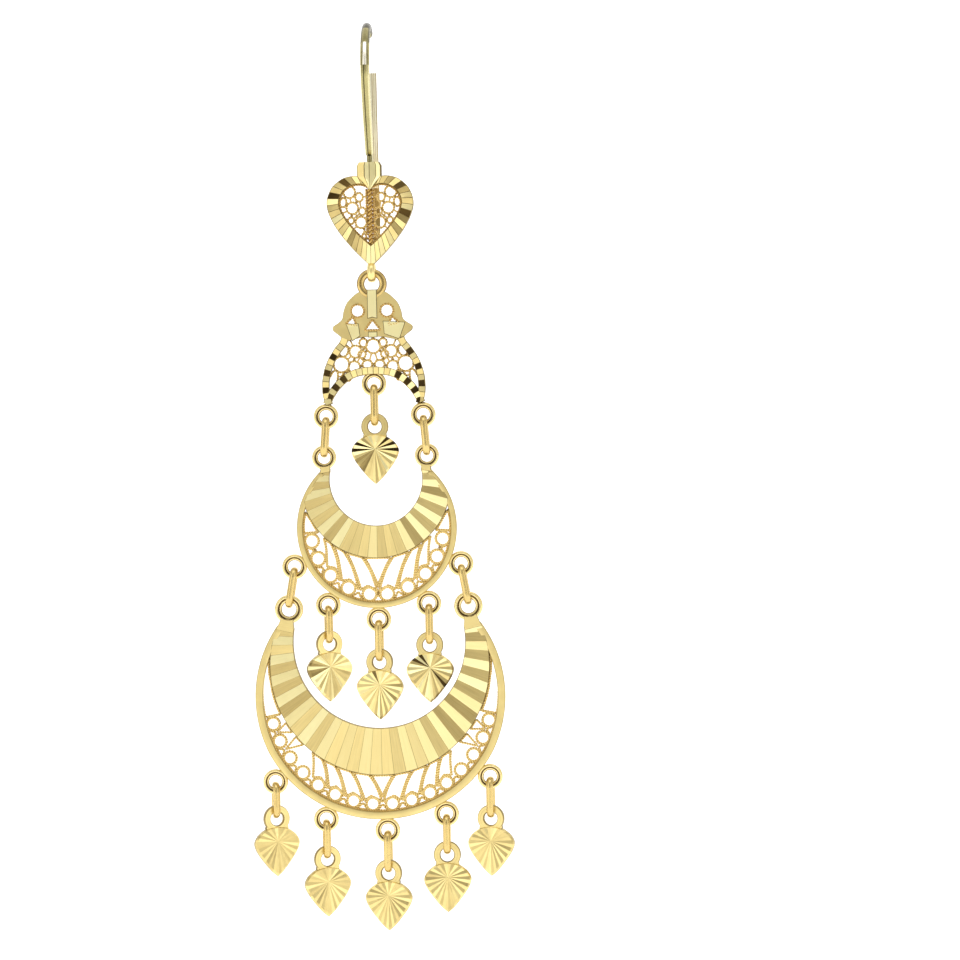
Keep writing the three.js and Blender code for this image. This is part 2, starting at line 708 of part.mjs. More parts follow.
function crescentGaps(tier) {
  const { rimInside } = tier;
  const row = rimInside - tier.circleRadius - WELD * 1.2;
  const turns = [...tier.circleTurns.map((turn) => -turn).reverse(), ...tier.circleTurns];
  const circles = turns.map((turn) => {
    return gapShape(onCircle(row, turn, tier.rimDrop), tier.circleRadius, tier.circleRadius, turn, 10);
  });
  const between = turns.slice(1).map((turn, i) => (turn + turns[i]) / 2);
  const corners = between.map((turn) => {
    const centre = onCircle(rimInside - WELD * 1.4, turn, tier.rimDrop);
    return gapShape(centre, WELD * 1.5, WELD * 1.5, turn, 3);
  });
  return [...circles, ...corners, ...petalGaps(tier, row), ...apexGaps(tier)];
}

// Gaps between the petal wires: a triangle in the middle, then one gap over each circle of the row
function petalGaps(tier, row) {
  const inset = LATTICE_WIRE / 2;
  const joints = [0, ...tier.circleTurns.slice(1).map((turn, i) => (turn + tier.circleTurns[i]) / 2)];
  const feet = joints.map((turn) => onCircle(row - tier.circleRadius / 2, turn, tier.rimDrop));
  const overCircle = row - tier.circleRadius - LATTICE_WIRE;
  const firstHead = petalHead(tier, feet[0], tier.petalSlants[0], -inset);
  const middle = [...mirrored([firstHead]), firstHead, onCircle(overCircle, 0, tier.rimDrop)];
  const rightSide = tier.petalSlants.slice(1).map((slant, i) => {
    const turn = tier.circleTurns[i];
    const overTurn = turn + PETAL_SHIFT * (joints[i + 1] - turn);
    return [
      petalHead(tier, feet[i], tier.petalSlants[i], inset),
      petalHead(tier, feet[i + 1], slant, -inset),
      feet[i + 1].clone().add(new THREE.Vector2(-inset, 0)),
      onCircle(overCircle, overTurn, tier.rimDrop),
      feet[i].clone().add(new THREE.Vector2(inset, 0)),
    ];
  });
  return [middle, ...rightSide, ...rightSide.map(mirrored)];
}

// Where a petal's wire, moved sideways by the inset, comes up against the fan's edge
function petalHead(tier, foot, slant, inset) {
  const up = new THREE.Vector2(Math.sin(slant * DEG), Math.cos(slant * DEG));
  const start = foot.clone().add(new THREE.Vector2(inset, 0));
  const fromCentre = start.clone().sub(new THREE.Vector2(0, tier.rimDrop + tier.fanRise));
  const along = up.dot(fromCentre);
  const beyond = fromCentre.lengthSq() - (tier.fanRadius + Math.abs(inset)) ** 2;
  return start.addScaledVector(up, -along - Math.sqrt(along * along - beyond));
}

// A long gap fills each corner where the fan meets the rim
function apexGaps(tier) {
  const { rimInside } = tier;
  const last = tier.circleTurns[tier.circleTurns.length - 1];
  const low = last + (tier.circleRadius * 1.6) / rimInside / DEG;
  const high = tier.fanMeetTurn - APEX_SHORT;
  return [1, -1].map((side) => {
    const outer = [];
    const inner = [];
    for (let i = 0; i <= APEX_STEPS; i += 1) {
      const turn = low + ((high - low) * i) / APEX_STEPS;
      const fanEdge = reach(turn, 0, tier.fanRise, tier.fanRadius) + WELD;
      outer.push(onCircle(rimInside - WELD, side * turn, tier.rimDrop));
      inner.push(onCircle(Math.min(fanEdge, rimInside - 2 * WELD), side * turn, tier.rimDrop));
    }
    return [...outer, ...inner.reverse().slice(1)];
  });
}

function topRingPlace(tier, side) {
  return new THREE.Vector2(side * tier.topRing.across, tier.rimDrop + tier.topRing.rise);
}

// Solder fills the corner between a horn's end and its ring
function hornSolder(tier, side) {
  const centre = onCircle(tier.rimRadius - tier.solder.inward, side * tier.solder.turn, tier.rimDrop);
  const disc = gapShape(centre, tier.solder.radius, tier.solder.radius, 0, 8);
  return plate(disc, LATTICE_DEPTH / 2, LATTICE_DEPTH / 2);
}

function crescent(tier, rimRings) {
  return toGeometry(joined([
    crescentFan(tier),
    crescentRim(tier),
    crescentLattice(tier),
    ...[1, -1].map((side) => ring(topRingPlace(tier, side), tier.topRing.radius, tier.topRing.wire)),
    ...[1, -1].map((side) => hornSolder(tier, side)),
    ...rimRings.map((row) => ring(rimRingPlace(tier, row.turn), RING_RADIUS, RING_WIRE)),
  ]));
}

// An oval link standing across two rings: it hangs on the upper one and holds the lower one
function link(upper, upperRing, lower, lowerRing, twist) {
  const top = upper.y - upperRing.radius + upperRing.wire + LINK_WIRE + LINK_GAP;
  const bottom = lower.y + lowerRing.radius - lowerRing.wire - LINK_WIRE - LINK_GAP;
  const bend = LINK_HALF_WIDTH - LINK_WIRE;
  const stretch = Math.max((top - bottom) / 2 - bend, 0);
  const geometry = new THREE.TorusGeometry(bend, LINK_WIRE, LINK_SIDES, RING_STEPS);
  geometry.rotateZ(Math.PI / RING_STEPS);
  const place = geometry.attributes.position;
  for (let i = 0; i < place.count; i += 1) {
    place.setY(i, place.getY(i) + Math.sign(place.getY(i)) * stretch);
  }
  geometry.rotateX(Math.PI / 2);
  geometry.rotateZ(Math.PI / 2 + twist * DEG);
  geometry.rotateY(Math.atan2(upper.x - lower.x, top - bottom));
  geometry.translate((upper.x + lower.x) / 2, 0, (top + bottom) / 2);
  return toGeometry(toSolid(geometry));
}

// A star-cut heart under its eyelet, about the eyelet's centre
function dropForm() {
  const top = -DROP_BELOW_EYE;
  const half = halfCurve(DROP_OUTLINE, DROP_HALF, DROP_TALL, top, DROP_FACETS / 2);
  const outline = wholeOutline(half);
  const star = [0, top - DROP_TALL * 0.3];
  const corners = [[star[0], -DROP_RIDGE * 0.8, star[1]], [star[0], DROP_BACK, star[1]]];
  outline.forEach((point, i) => {
    const front = -(i % 2 ? DROP_VALLEY : DROP_RIDGE);
    corners.push([point.x, front, point.y], [point.x, DROP_BACK * 0.6, point.y]);
  });
  const index = [];
  outline.forEach((point, i) => {
    const here = 2 + 2 * i;
    const next = 2 + 2 * ((i + 1) % outline.length);
    index.push(0, here, next, 1, next + 1, here + 1);
    index.push(here, here + 1, next + 1, here, next + 1, next);
  });
  const eyelet = ring(new THREE.Vector2(), DROP_EYE_RADIUS, DROP_EYE_WIRE);
  return toGeometry(joined([fromCorners(corners, index), eyelet]));
}

// Assembly

const gold = { colour: 0xdcb566, roughness: 0.22 };

function named(name, geometry, shade = 1) {
  const material = new THREE.MeshStandardMaterial({
    color: new THREE.Color(gold.colour).multiplyScalar(shade),
    roughness: gold.roughness,
    metalness: 1,
  });
  const mesh = new THREE.Mesh(geometry, material);
  mesh.name = name;
  return mesh;
}

const rimRing = { radius: RING_RADIUS, wire: RING_WIRE };
const eyeRing = { radius: DROP_EYE_RADIUS, wire: DROP_EYE_WIRE };
const dropGeometry = dropForm();

// A drop and the link that carries it, under the ring at this place
function hangingDrop(suffix, place, row) {
  const eye = eyeUnder(place, row);
  const drop = named(`drop_${suffix}`, dropGeometry, 1);
  drop.rotation.z = row.twist * DEG;
  drop.position.set(eye.x, 0, eye.y);
  const carrier = named(`link_${suffix}`, link(place, rimRing, eye, eyeRing, row.twist / 2), 0.9);
  return [carrier, drop];
}

function hangingDrops(prefix, tier, rows) {
  const drops = rows.filter((row) => row.carries === 'drop');
  return drops.flatMap((row, i) => {
    return hangingDrop(`${prefix}_${i + 1}`, rimRingPlace(tier, row.turn), row);
  });
}

function sideLinks(prefix, upperPlace, tier) {
  return [1, -1].map((side) => {
    const upper = new THREE.Vector2(side * upperPlace.x, upperPlace.y);
    const name = `link_${prefix}_${side > 0 ? 'right' : 'left'}`;
    return named(name, link(upper, rimRing, topRingPlace(tier, side), tier.topRing, 0), 0.9);
  });
}

const group = new THREE.Group();
group.add(
  named('ear_wire', earWire(), 0.95),
  named('heart', heart()),
  named('crown', crown(), 0.97),
  named('crescent_two', crescent(SECOND, SECOND_RIM_RINGS)),
  named('crescent_three', crescent(THIRD, THIRD_RIM_RINGS), 0.97),
  ...sideLinks('two', CROWN_LOW_RING, SECOND),
  ...sideLinks('three', SECOND_OUTER_RING, THIRD),
  ...hangingDrop('crown', CROWN_DROP_RING, CROWN_DROP),
  ...hangingDrops('two', SECOND, SECOND_RIM_RINGS),
  ...hangingDrops('three', THIRD, THIRD_RIM_RINGS),
);

export default group;
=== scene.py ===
"""Looks for the chandelier earring: diamond-cut flutes, twisted filigree wire, rings, links and drops."""
import math
import random

import bpy
import numpy as np
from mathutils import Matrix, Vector


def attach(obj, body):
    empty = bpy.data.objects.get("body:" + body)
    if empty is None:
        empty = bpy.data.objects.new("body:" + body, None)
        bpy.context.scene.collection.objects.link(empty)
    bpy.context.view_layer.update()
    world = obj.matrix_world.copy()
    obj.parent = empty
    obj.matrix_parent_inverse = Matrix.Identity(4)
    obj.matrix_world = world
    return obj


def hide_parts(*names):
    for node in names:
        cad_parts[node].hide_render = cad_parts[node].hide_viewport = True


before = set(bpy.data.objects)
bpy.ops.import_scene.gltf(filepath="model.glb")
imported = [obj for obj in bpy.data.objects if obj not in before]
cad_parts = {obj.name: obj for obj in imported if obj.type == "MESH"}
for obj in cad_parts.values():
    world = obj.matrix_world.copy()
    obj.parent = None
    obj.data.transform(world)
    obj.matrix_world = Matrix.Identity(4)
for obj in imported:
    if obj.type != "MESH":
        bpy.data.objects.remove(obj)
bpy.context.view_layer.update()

# Lengths are millimetres and turns degrees, apart from the lights and the backdrop, in metres.
MM = 0.001
DEG = math.pi / 180

HEART_BODY = "heart_body"
CROWN_BODY = "crown_body"
SECOND_BODY = "crescent_two_body"
THIRD_BODY = "crescent_three_body"
WIRE_BODY = "ear_wire_body"

# Depths along Y: fronts lie at minus these, backs at plus. The backs of forms that overlap lie a step
# apart, so that no two are in one plane.
PLATE_FRONT = 0.34
RIM_FRONT = 0.41
HORN_FRONT = 0.47
PLATE_BACK = 0.32
BACK_STEP = 0.02
FLANK_BACK = HORN_BACK = PLATE_BACK - BACK_STEP
ARCH_BACK = FAN_BACK = PLATE_BACK - 2 * BACK_STEP
# The seam tone paints the shade in the narrow seam strip beside each flute
BOLD_CUT = dict(ridge=0.48, valley=0.30, seam=0.1, seam_shade_tone=0.14)
SOFT_CUT = dict(ridge=0.46, valley=0.38, seam=0.05, seam_shade_tone=0.36)
FLUTE_CHAMFER = 0.06
RIM_CORNER = 0.07

# Wires of the filigree, and the grains and struts that join them
ROPE_STRAND = 0.072
TIER_STRAND = 0.088
ROPE_PITCH = 0.5
BEAD_RADIUS = 0.15
STRUT_RADIUS = 0.09

# Ear wire, hinge and catch
WIRE_THICK = 0.92
WIRE_FOOT_THICK = 0.8
NECK_THICK = 0.56
WIRE_BOW = 3.9
ARCH_TIP_BACK = 2.8
WIRE_FOOT_DROP = 12.2
WIRE_FRONT_PATH = [(0.42, 0.75), (0.92, 0.42), (0.86, 0.2), (0.45, 0.045)]
WIRE_ARCH_PATH = [(0.1, 1), (0.62, 0.75), (1, -0.2)]
HINGE_DROP = 13.6
HINGE_BACK = 0.45
HINGE_GAP = 0.15
PIN_THICK = 0.4
EYE_WIDTH = 0.6
EYE_RADIUS = 0.57
EYE_BORE = 0.35
CHEEK_WIDTH = 0.3
CHEEK_DEPTH = 1.1
CHEEK_TALL = 1.95
CHEEK_FRONT = 0.43
PIN_PLACES = (-0.62, -0.3, 0.0, 0.3, 0.62)
CLOSING_TURN = 25
TIP_OVERLAP = 0.29
TIP_CLEARANCE = 0.28
# Painted reflections along the wire's stretches from the top: lowest height, half width of its middle, tones
# of middle and sides
WIRE_REFLECTION_STRETCHES = [
    (0.1, 1.0, 0.0, 0.0),
    (-1.6, 0.7, 0.42, 0.24),
    (-3.9, 0.48, 1.0, 0.42),
]
# A dark reflection painted as a line left of the wire's middle, as shares of its half width
WIRE_DARK_REFLECTION_LINE = (-0.42, -0.12)
WIRE_FULL_SHARE = 0.45
WIRE_ROUND_SHARE = 0.97
CATCH_WIDTH = 0.72
CATCH_THICK = 0.34
CATCH_REACH = 9.6
CATCH_PATH = [(0.85, 0.26), (0.92, 0.56), (1, 0.76), (0.86, 0.915), (0.5, 1)]

# Heart
HEART_BELOW_HINGE = 0.85
HEART_HALF = 4.35
HEART_TALL = 9.1
HEART_OPEN_HALF = 3.15
HEART_OPEN_TALL = 6.2
HEART_BORDER_TOP = 0.8
HEART_FLUTES = 40
TAB_WIDTH = 2.5
TAB_TALL = 2.75
TAB_ABOVE = 1.35
CATCH_FOOT_DOWN = 7.83
STEM_HALF = 0.36
HEART_LOOP_WIRE = 0.28
HEART_LOOP_WIDTH = 0.8
HEART_LOOP_BELOW = 0.54

# Crown
CROWN_RING_ABOVE = 0.8
CROWN_HALF = 5.15
CROWN_TALL = 11.4
CROWN_RING_RADIUS = 1.13
CROWN_RING_WIRE = 0.37
CROWN_RING_SHIFT = 0.005
FLANK_WIDTH = 0.72
ARCH_WIDTH = 0.78

# Rings, links and drops
RING_RADIUS = 0.95
RING_WIRE = 0.3
LINK_WIRE = 0.3
LINK_HALF_WIDTH = 0.99
LINK_FLAT = 1.22
LINK_GAP = 0.06
WELD = 0.12

DROP_HALF = 2.36
DROP_TALL = 5.0
DROP_EYE_RADIUS = 1.02
DROP_EYE_WIRE = 0.34
DROP_BELOW_EYE = 0.75
DROP_FACETS = 36

# Tones run from 0, black, to 1, pale; many paint the metal's reflections, highlights and shade
# Black and brown paint the dark reflections on chosen flutes and rays
BLACK_REFLECTION_TONE = 0.02
BROWN_REFLECTION_TONE = 0.24
# Ring tones: the outer side is painted darker as a dark reflection, the groove and the inside are painted
# dark as shade
RING_FACE_TONE = 0.78
RING_SIDE_DARK_REFLECTION = 0.4
RING_GROOVE_SHADE = 0.1
RING_INSIDE_SHADE = 0.3
FLAT_TONE = 0.56
# Edges and chamfers, and the rim's front corners, are painted darker as dark reflections
EDGE_DARK_REFLECTION = 0.24
BACK_TONE = 0.55
RIM_CORNER_DARK_REFLECTION = 0.34
# Tones that paint the reflections on the drops' rays, bolder where some rays are black and brown
DROP_REFLECTION_TONES = (0.42, 0.52, 0.62, 0.76, 0.88)
SOFT_DROP_REFLECTION_TONES = (0.46, 0.5, 0.54, 0.58, 0.64)

# The heart's flutes that stand out from the rest with painted pale and dark reflections, counted clockwise
# from its notch
HEART_FLUTE_REFLECTIONS = {
    0: 0.5, 3: 0.4, 5: 0.16, 6: 0.3, 8: 0.45, 10: 0.1, 11: 0.3, 13: 0.42, 15: 0.76, 17: 0.8,
    18: 0.6, 19: 0.8, 20: 0.78, 21: 0.66, 23: 0.38, 24: 0.26, 27: 0.5, 28: 0.98, 29: 0.4,
    32: 0.06, 33: 0.42, 34: 0.6, 35: 0.1, 36: 0.45, 38: 0.5,
}
# Flutes of the crown and which are painted black as dark reflections, counted down each flank and along the
# arch from the right
FLANK_FLUTES = 12
ARCH_FLUTES = 22
DARK_REFLECTION_RIGHT = (2, 5, 8, 11)
DARK_REFLECTION_LEFT = (3, 6, 9)
DARK_REFLECTION_ARCH = (2, 4, 6, 16, 18, 20)

# The two crescents, and what their rim rings carry; the black and brown lists name rays of a drop
# painted as dark reflections, counted clockwise from its top
SIDE_TURN = 62
SECOND_SHAPE = dict(
    name="crescent_two", body=SECOND_BODY, hangs=4.1, spread=0.28, rim_radius=8.0, rim_width=0.58,
    mouth_inside=0.5, mouth_clears=4.15, lattice_share=0.576, fan_meet_turn=106.6, horn_short=8.25,
    horn_draw=0.0, fan_short=10.6, flutes=28, circle_radius=0.62, circle_turns=[7.6, 26.6, 45.6, 63.5, 79.8],
    petal_slants=[23, 20.5, 12, 6], ring_out=0.81, ring_radius=0.92, ring_wire=0.3,
    solder_inward=0.31, solder_short=5.3, solder_radius=0.52, crowded=False,
)
THIRD_SHAPE = dict(
    name="crescent_three", body=THIRD_BODY, hangs=4.24, spread=0.64, rim_radius=12.7, rim_width=0.76,
    mouth_inside=0.38, mouth_clears=0.84, lattice_share=0.436, fan_meet_turn=116.6, horn_short=9.25,
    horn_draw=0.45, fan_short=11.0, flutes=38, circle_radius=0.58,
    circle_turns=[5, 15, 25, 35, 45, 55, 65, 74.5], petal_slants=[25, 22, 17, 9, 0],
    ring_out=-0.37, ring_radius=1.08, ring_wire=0.36,
    solder_inward=1.21, solder_short=6.1, solder_radius=0.6, crowded=True,
)
LATTICE_WIRE = 0.26
PETAL_SHIFT = 0.3
PETAL_BOW = -0.045
APEX_SHORT = 4
SECOND_RIM_RINGS = [
    dict(turn=-66, carries="crescent"),
    dict(turn=-33.5, carries="drop", twist=24, hang=2.05, brown_reflections=(26, 27, 29)),
    dict(turn=0, carries="drop", twist=-8, hang=2.25, brown_reflections=(34,)),
    dict(turn=33.5, carries="drop", twist=0, hang=2.2, dark_reflections=(12, 31, 33)),
    dict(turn=66, carries="crescent"),
]
THIRD_RIM_RINGS = [
    dict(turn=-50.6, carries="drop", twist=26, hang=1.95),
    dict(turn=-24.2, carries="drop", twist=20, hang=2.1),
    dict(turn=1.9, carries="drop", twist=-8, hang=2.25),
    dict(turn=27.4, carries="drop", twist=0, hang=2.15),
    dict(turn=51.4, carries="drop", twist=-12, hang=2.2),
]
CROWN_DROP = dict(twist=0, hang=2.25, dark_reflections=(3, 5, 7, 28, 30), brown_reflections=(22, 23, 25))

# Half outlines as (across, down): shares of the half width and of the height
HEART_OUTLINE = [
    (0.0, 0.07), (0.2, 0.012), (0.43, 0.0), (0.68, 0.04), (0.9, 0.14),
    (1.0, 0.29), (0.93, 0.44), (0.72, 0.62), (0.38, 0.82), (0.0, 1.0),
]
DROP_OUTLINE = [
    (0.0, 0.0), (0.3, 0.02), (0.52, 0.06), (0.68, 0.11), (0.87, 0.19), (1.0, 0.31),
    (0.97, 0.42), (0.82, 0.56), (0.54, 0.74), (0.25, 0.9), (0.0, 1.0),
]
CROWN_BROW = [
    (0.0, -0.01), (0.25, 0.0), (0.41, 0.053), (0.5, 0.1), (0.56, 0.17), (0.59, 0.235),
    (0.68, 0.272), (0.77, 0.3), (0.765, 0.335), (0.67, 0.37), (0.61, 0.395),
]
CROWN_FLANK = [
    (0.61, 0.395), (0.64, 0.43), (0.73, 0.48), (0.86, 0.57),
    (0.945, 0.66), (0.995, 0.76), (1.0, 0.88), (0.94, 0.99),
]
CROWN_ARCH = [
    (0.85, 0.99), (0.78, 0.92), (0.66, 0.845), (0.485, 0.775), (0.27, 0.735), (0.0, 0.722),
]

# Openings that the filigree wire runs round, as (across, down, long, wide, turn, corners), mirrored
# unless on the axis
HEART_GAPS = [
    (0.66, 0.125, 0.165, 0.165, 0, 20),
    (0.57, 0.385, 0.165, 0.165, 0, 20),
    (0.30, 0.615, 0.16, 0.155, 0, 20),
    (0.35, 0.21, 0.115, 0.1, 0, 16),
    (0.26, 0.435, 0.1, 0.09, 0, 16),
    (0.86, 0.29, 0.13, 0.085, 8, 12),
    (0.62, 0.585, 0.085, 0.075, 180, 12),
    (0.21, 0.83, 0.14, 0.085, 8, 3),
]
CROWN_PLATE_GAPS = [
    (0.285, 0.165, 0.12, 0.12, 0, 20),
    (0.4, 0.262, 0.1, 0.12, 12, 3),
    (0.0, 0.305, 0.13, 0.17, 0, 3),
]
CROWN_WIRE_GAPS = [
    (0.0, 0.475, 0.125, 0.125, 0, 20),
    (0.345, 0.52, 0.105, 0.105, 0, 20),
    (0.625, 0.63, 0.14, 0.14, 0, 20),
    (0.12, 0.635, 0.075, 0.085, 0, 12),
    (0.19, 0.445, 0.07, 0.065, 180, 12),
    (0.575, 0.515, 0.1, 0.075, 24, 12),
    (0.375, 0.655, 0.105, 0.1, 0, 12),
    (0.22, 0.545, 0.06, 0.06, 0, 12),
    (0.81, 0.79, 0.25, 0.075, 18, 14),
    (0.52, 0.735, 0.075, 0.08, 30, 12),
]


# Places worked out down the chain, as on the part

HEART_TOP = -HINGE_DROP - HEART_BELOW_HINGE
TAB_TOP = HEART_TOP + TAB_ABOVE
HEART_LOOP_RADIUS = CROWN_RING_WIRE + 1.5 * LINK_GAP + HEART_LOOP_WIRE
HEART_LOOP_Z = HEART_TOP - HEART_TALL - HEART_LOOP_BELOW
CROWN_RING_Z = (HEART_LOOP_Z - HEART_LOOP_RADIUS + HEART_LOOP_WIRE + LINK_GAP
                + CROWN_RING_WIRE - CROWN_RING_RADIUS)
CROWN_TOP = CROWN_RING_Z - CROWN_RING_ABOVE
CROWN_LOW_RING = (CROWN_HALF * (CROWN_FLANK[-1][0] + CROWN_RING_SHIFT),
                  CROWN_TOP - CROWN_TALL - RING_RADIUS)
CROWN_DROP_RING = (0.0, CROWN_TOP - CROWN_TALL * CROWN_ARCH[-1][1] - RING_RADIUS)


def on_circle(radius, turn, centre):
    return np.array([math.sin(turn * DEG) * radius, centre - math.cos(turn * DEG) * radius])


def hung_under(upper, drop_tip, shape):
    """The crescent placed under the ring that carries it, its mouth clear of the drop inside it."""
    across = upper[0] + shape["spread"]
    ring_reach = shape["rim_radius"] + shape["ring_out"]
    rise = math.sqrt(ring_reach ** 2 - across ** 2)
    ring_turn = 180 - math.asin(across / ring_reach) / DEG
    rim_drop = upper[1] - shape["hangs"] - rise
    mouth_radius = across - shape["mouth_inside"]
    mouth_low = drop_tip - shape["mouth_clears"] - rim_drop
    mouth_rise = mouth_low + mouth_radius
    mouth_turn = 90 + math.atan2(rise - mouth_rise, across) / DEG
    rim_inside = shape["rim_radius"] - shape["rim_width"]
    fan_low = rim_inside - shape["lattice_share"] * (rim_inside + mouth_low)
    meet = on_circle(rim_inside, shape["fan_meet_turn"], 0)
    fan_rise = (rim_inside ** 2 - fan_low ** 2) / (2 * (fan_low + meet[1]))
    return dict(
        shape, rim_drop=rim_drop, rim_inside=rim_inside, mouth_radius=mouth_radius, mouth_rise=mouth_rise,
        fan_rise=fan_rise, fan_radius=fan_rise + fan_low, horn_turn=ring_turn - shape["horn_short"],
        horn_fan=mouth_turn - shape["fan_short"], solder_turn=ring_turn - shape["solder_short"],
        across=across, rise=rise,
    )


def rim_ring_place(tier, turn):
    return on_circle(tier["rim_radius"] + RING_RADIUS + RING_WIRE - WELD, turn, tier["rim_drop"])


def top_ring_place(tier, side):
    return np.array([side * tier["across"], tier["rim_drop"] + tier["rise"]])


def eye_under(place, row):
    """Where the eyelet of a drop hangs under its ring."""
    return place[0], place[1] - row["hang"] * 2 * RING_RADIUS


def tip_under(place, row):
    return eye_under(place, row)[1] - DROP_BELOW_EYE - DROP_TALL


SECOND = hung_under(CROWN_LOW_RING, tip_under(CROWN_DROP_RING, CROWN_DROP), SECOND_SHAPE)
SECOND_OUTER_RING = rim_ring_place(SECOND, SECOND_RIM_RINGS[-1]["turn"])
SECOND_MIDDLE = SECOND_RIM_RINGS[len(SECOND_RIM_RINGS) // 2]
SECOND_MIDDLE_RING = rim_ring_place(SECOND, SECOND_MIDDLE["turn"])
THIRD = hung_under(SECOND_OUTER_RING, tip_under(SECOND_MIDDLE_RING, SECOND_MIDDLE), THIRD_SHAPE)


# Collecting geometry

class Form:
    """Corners and faces in millimetres, with a tone from dark to pale for each face, which carries painted
    reflections, highlights and shade.
    """

    def __init__(self):
        self.corners = []
        self.faces = []
        self.tones = []
        self.smooth = []

    def add(self, corners, faces, tone=0.6, smooth=True):
        """Adds faces; tone is one value, a list with one a face, or a function of a face's middle."""
        start = len(self.corners)
        self.corners.extend(tuple(float(v) for v in corner) for corner in corners)
        if callable(tone):
            tone = [tone(sum(corners[i] for i in face) / len(face)) for face in faces]
        tones = tone if isinstance(tone, (list, tuple)) else [tone] * len(faces)
        for face, shade in zip(faces, tones):
            self.faces.append([start + i for i in face])
            self.tones.append(shade)
            self.smooth.append(smooth)

    def add_rows(self, rows, closed, tone=0.6, smooth=True):
        """Adds a skin over rows of corners, each row a loop; rows that don't close get two end caps."""
        count = len(rows[0])
        faces = []
        for r in range(len(rows) if closed else len(rows) - 1):
            here, over = r * count, (r + 1) % len(rows) * count
            for c in range(count):
                after = (c + 1) % count
                faces.append([here + c, here + after, over + after, over + c])
        if not closed:
            faces.append(list(range(count))[::-1])
            faces.append([(len(rows) - 1) * count + c for c in range(count)])
        self.add([corner for row in rows for corner in row], faces, tone, smooth)

    def piece(self, name, body, slot, material, *nodes):
        mesh = bpy.data.meshes.new(name)
        scaled = [(x * MM, y * MM, z * MM) for x, y, z in self.corners]
        mesh.from_pydata(scaled, [], self.faces)
        mesh.polygons.foreach_set("use_smooth", self.smooth)
        tone = mesh.attributes.new("tone", "FLOAT", "FACE")
        tone.data.foreach_set("value", self.tones)
        mesh.materials.append(material)
        mesh.validate()
        mesh.update()
        obj = placed_object(name, mesh)
        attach(obj, body)
        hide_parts(*nodes)


def placed_object(name, data):
    obj = bpy.data.objects.new(name, data)
    bpy.context.scene.collection.objects.link(obj)
    return obj


def turns_round(count, start=0.0):
    """Radians of equal steps round a circle."""
    return [2 * math.pi * (k + start) / count for k in range(count)]


def cross_directions(points, closed):
    """Two unit directions across the path at each point, which don't spin along it."""
    count = len(points)
    tangents = []
    for i in range(count):
        before = points[(i - 1) % count] if closed or i > 0 else points[i]
        after = points[(i + 1) % count] if closed or i < count - 1 else points[i]
        tangents.append((after - before) / np.linalg.norm(after - before))
    side = np.array([0.0, 1.0, 0.0])
    if abs(tangents[0][1]) > 0.9:
        side = np.array([1.0, 0.0, 0.0])
    sides = []
    for tangent in tangents:
        side = side - tangent * np.dot(side, tangent)
        side = side / np.linalg.norm(side)
        sides.append(side)
    return sides, [np.cross(t, s) for t, s in zip(tangents, sides)]


def tube(form, points, radius, sides=8, closed=False, tone=0.6, squash=1.0):
    """A round wire along the path; squash flattens it across its second direction."""
    points = [np.asarray(p, dtype=float) for p in points]
    radii = radius if isinstance(radius, (list, tuple)) else [radius] * len(points)
    rows = []
    for p, r, a, u in zip(points, radii, *cross_directions(points, closed)):
        rows.append([p + a * (math.cos(turn) * r) + u * (math.sin(turn) * r * squash)
                     for turn in turns_round(sides, 0.5)])
    form.add_rows(rows, closed, tone)


def lengths_along(points):
    """How far along the path each of its points lies."""
    lengths = [0.0]
    for a, b in zip(points, points[1:]):
        lengths.append(lengths[-1] + float(np.linalg.norm(np.asarray(b) - np.asarray(a))))
    return lengths


def resampled(points, count):
    """The path again, flat or in space, with count equal steps."""
    lengths = lengths_along(points)
    stations = np.linspace(0, lengths[-1], count + 1)
    return list(np.stack([np.interp(stations, lengths, column) for column in np.array(points).T], axis=1))


def evenly(points, step, closed):
    """The path again with points about one step apart."""
    points = [np.asarray(p, dtype=float) for p in points]
    if closed:
        points = points + [points[0]]
    made = resampled(points, max(int(round(lengths_along(points)[-1] / step)), 4))
    return made[:-1] if closed else made


def rope(form, points, closed=True, strand=ROPE_STRAND, pitch=ROPE_PITCH, tone=0.72):
    """Two strands of wire twisted round each other along the path, with a black core wire between them that
    paints the shade in the seam.
    """
    centre = evenly(points, pitch / 6, closed)
    across, up = cross_directions(centre, closed)
    length = len(centre) * pitch / 6
    turns = max(round(length / pitch), 2)
    for k in range(2):
        strand_path = []
        for i, (p, a, u) in enumerate(zip(centre, across, up)):
            spin = 2 * math.pi * turns * i / len(centre) + k * math.pi
            strand_path.append(p + (a * math.cos(spin) + u * math.sin(spin)) * strand)
        tube(form, strand_path, strand, 5, closed, tone)
    # A thin black core paints the shade in the seam between the strands
    shade_core_radius = strand * 0.62
    tube(form, evenly(points, pitch / 2, closed), shade_core_radius, 4, closed, 0.0)


def bead(form, centre, radius, tone):
    """A small round grain of gold."""
    levels = 5
    rows = []
    for level in range(levels):
        lift = math.pi * (level + 0.5) / levels
        wide = math.sin(lift) * radius
        rows.append([(centre[0] + math.cos(turn) * wide, centre[1] - math.cos(lift) * radius,
                      centre[2] + math.sin(turn) * wide) for turn in turns_round(8)])
    form.add_rows(rows, False, tone)


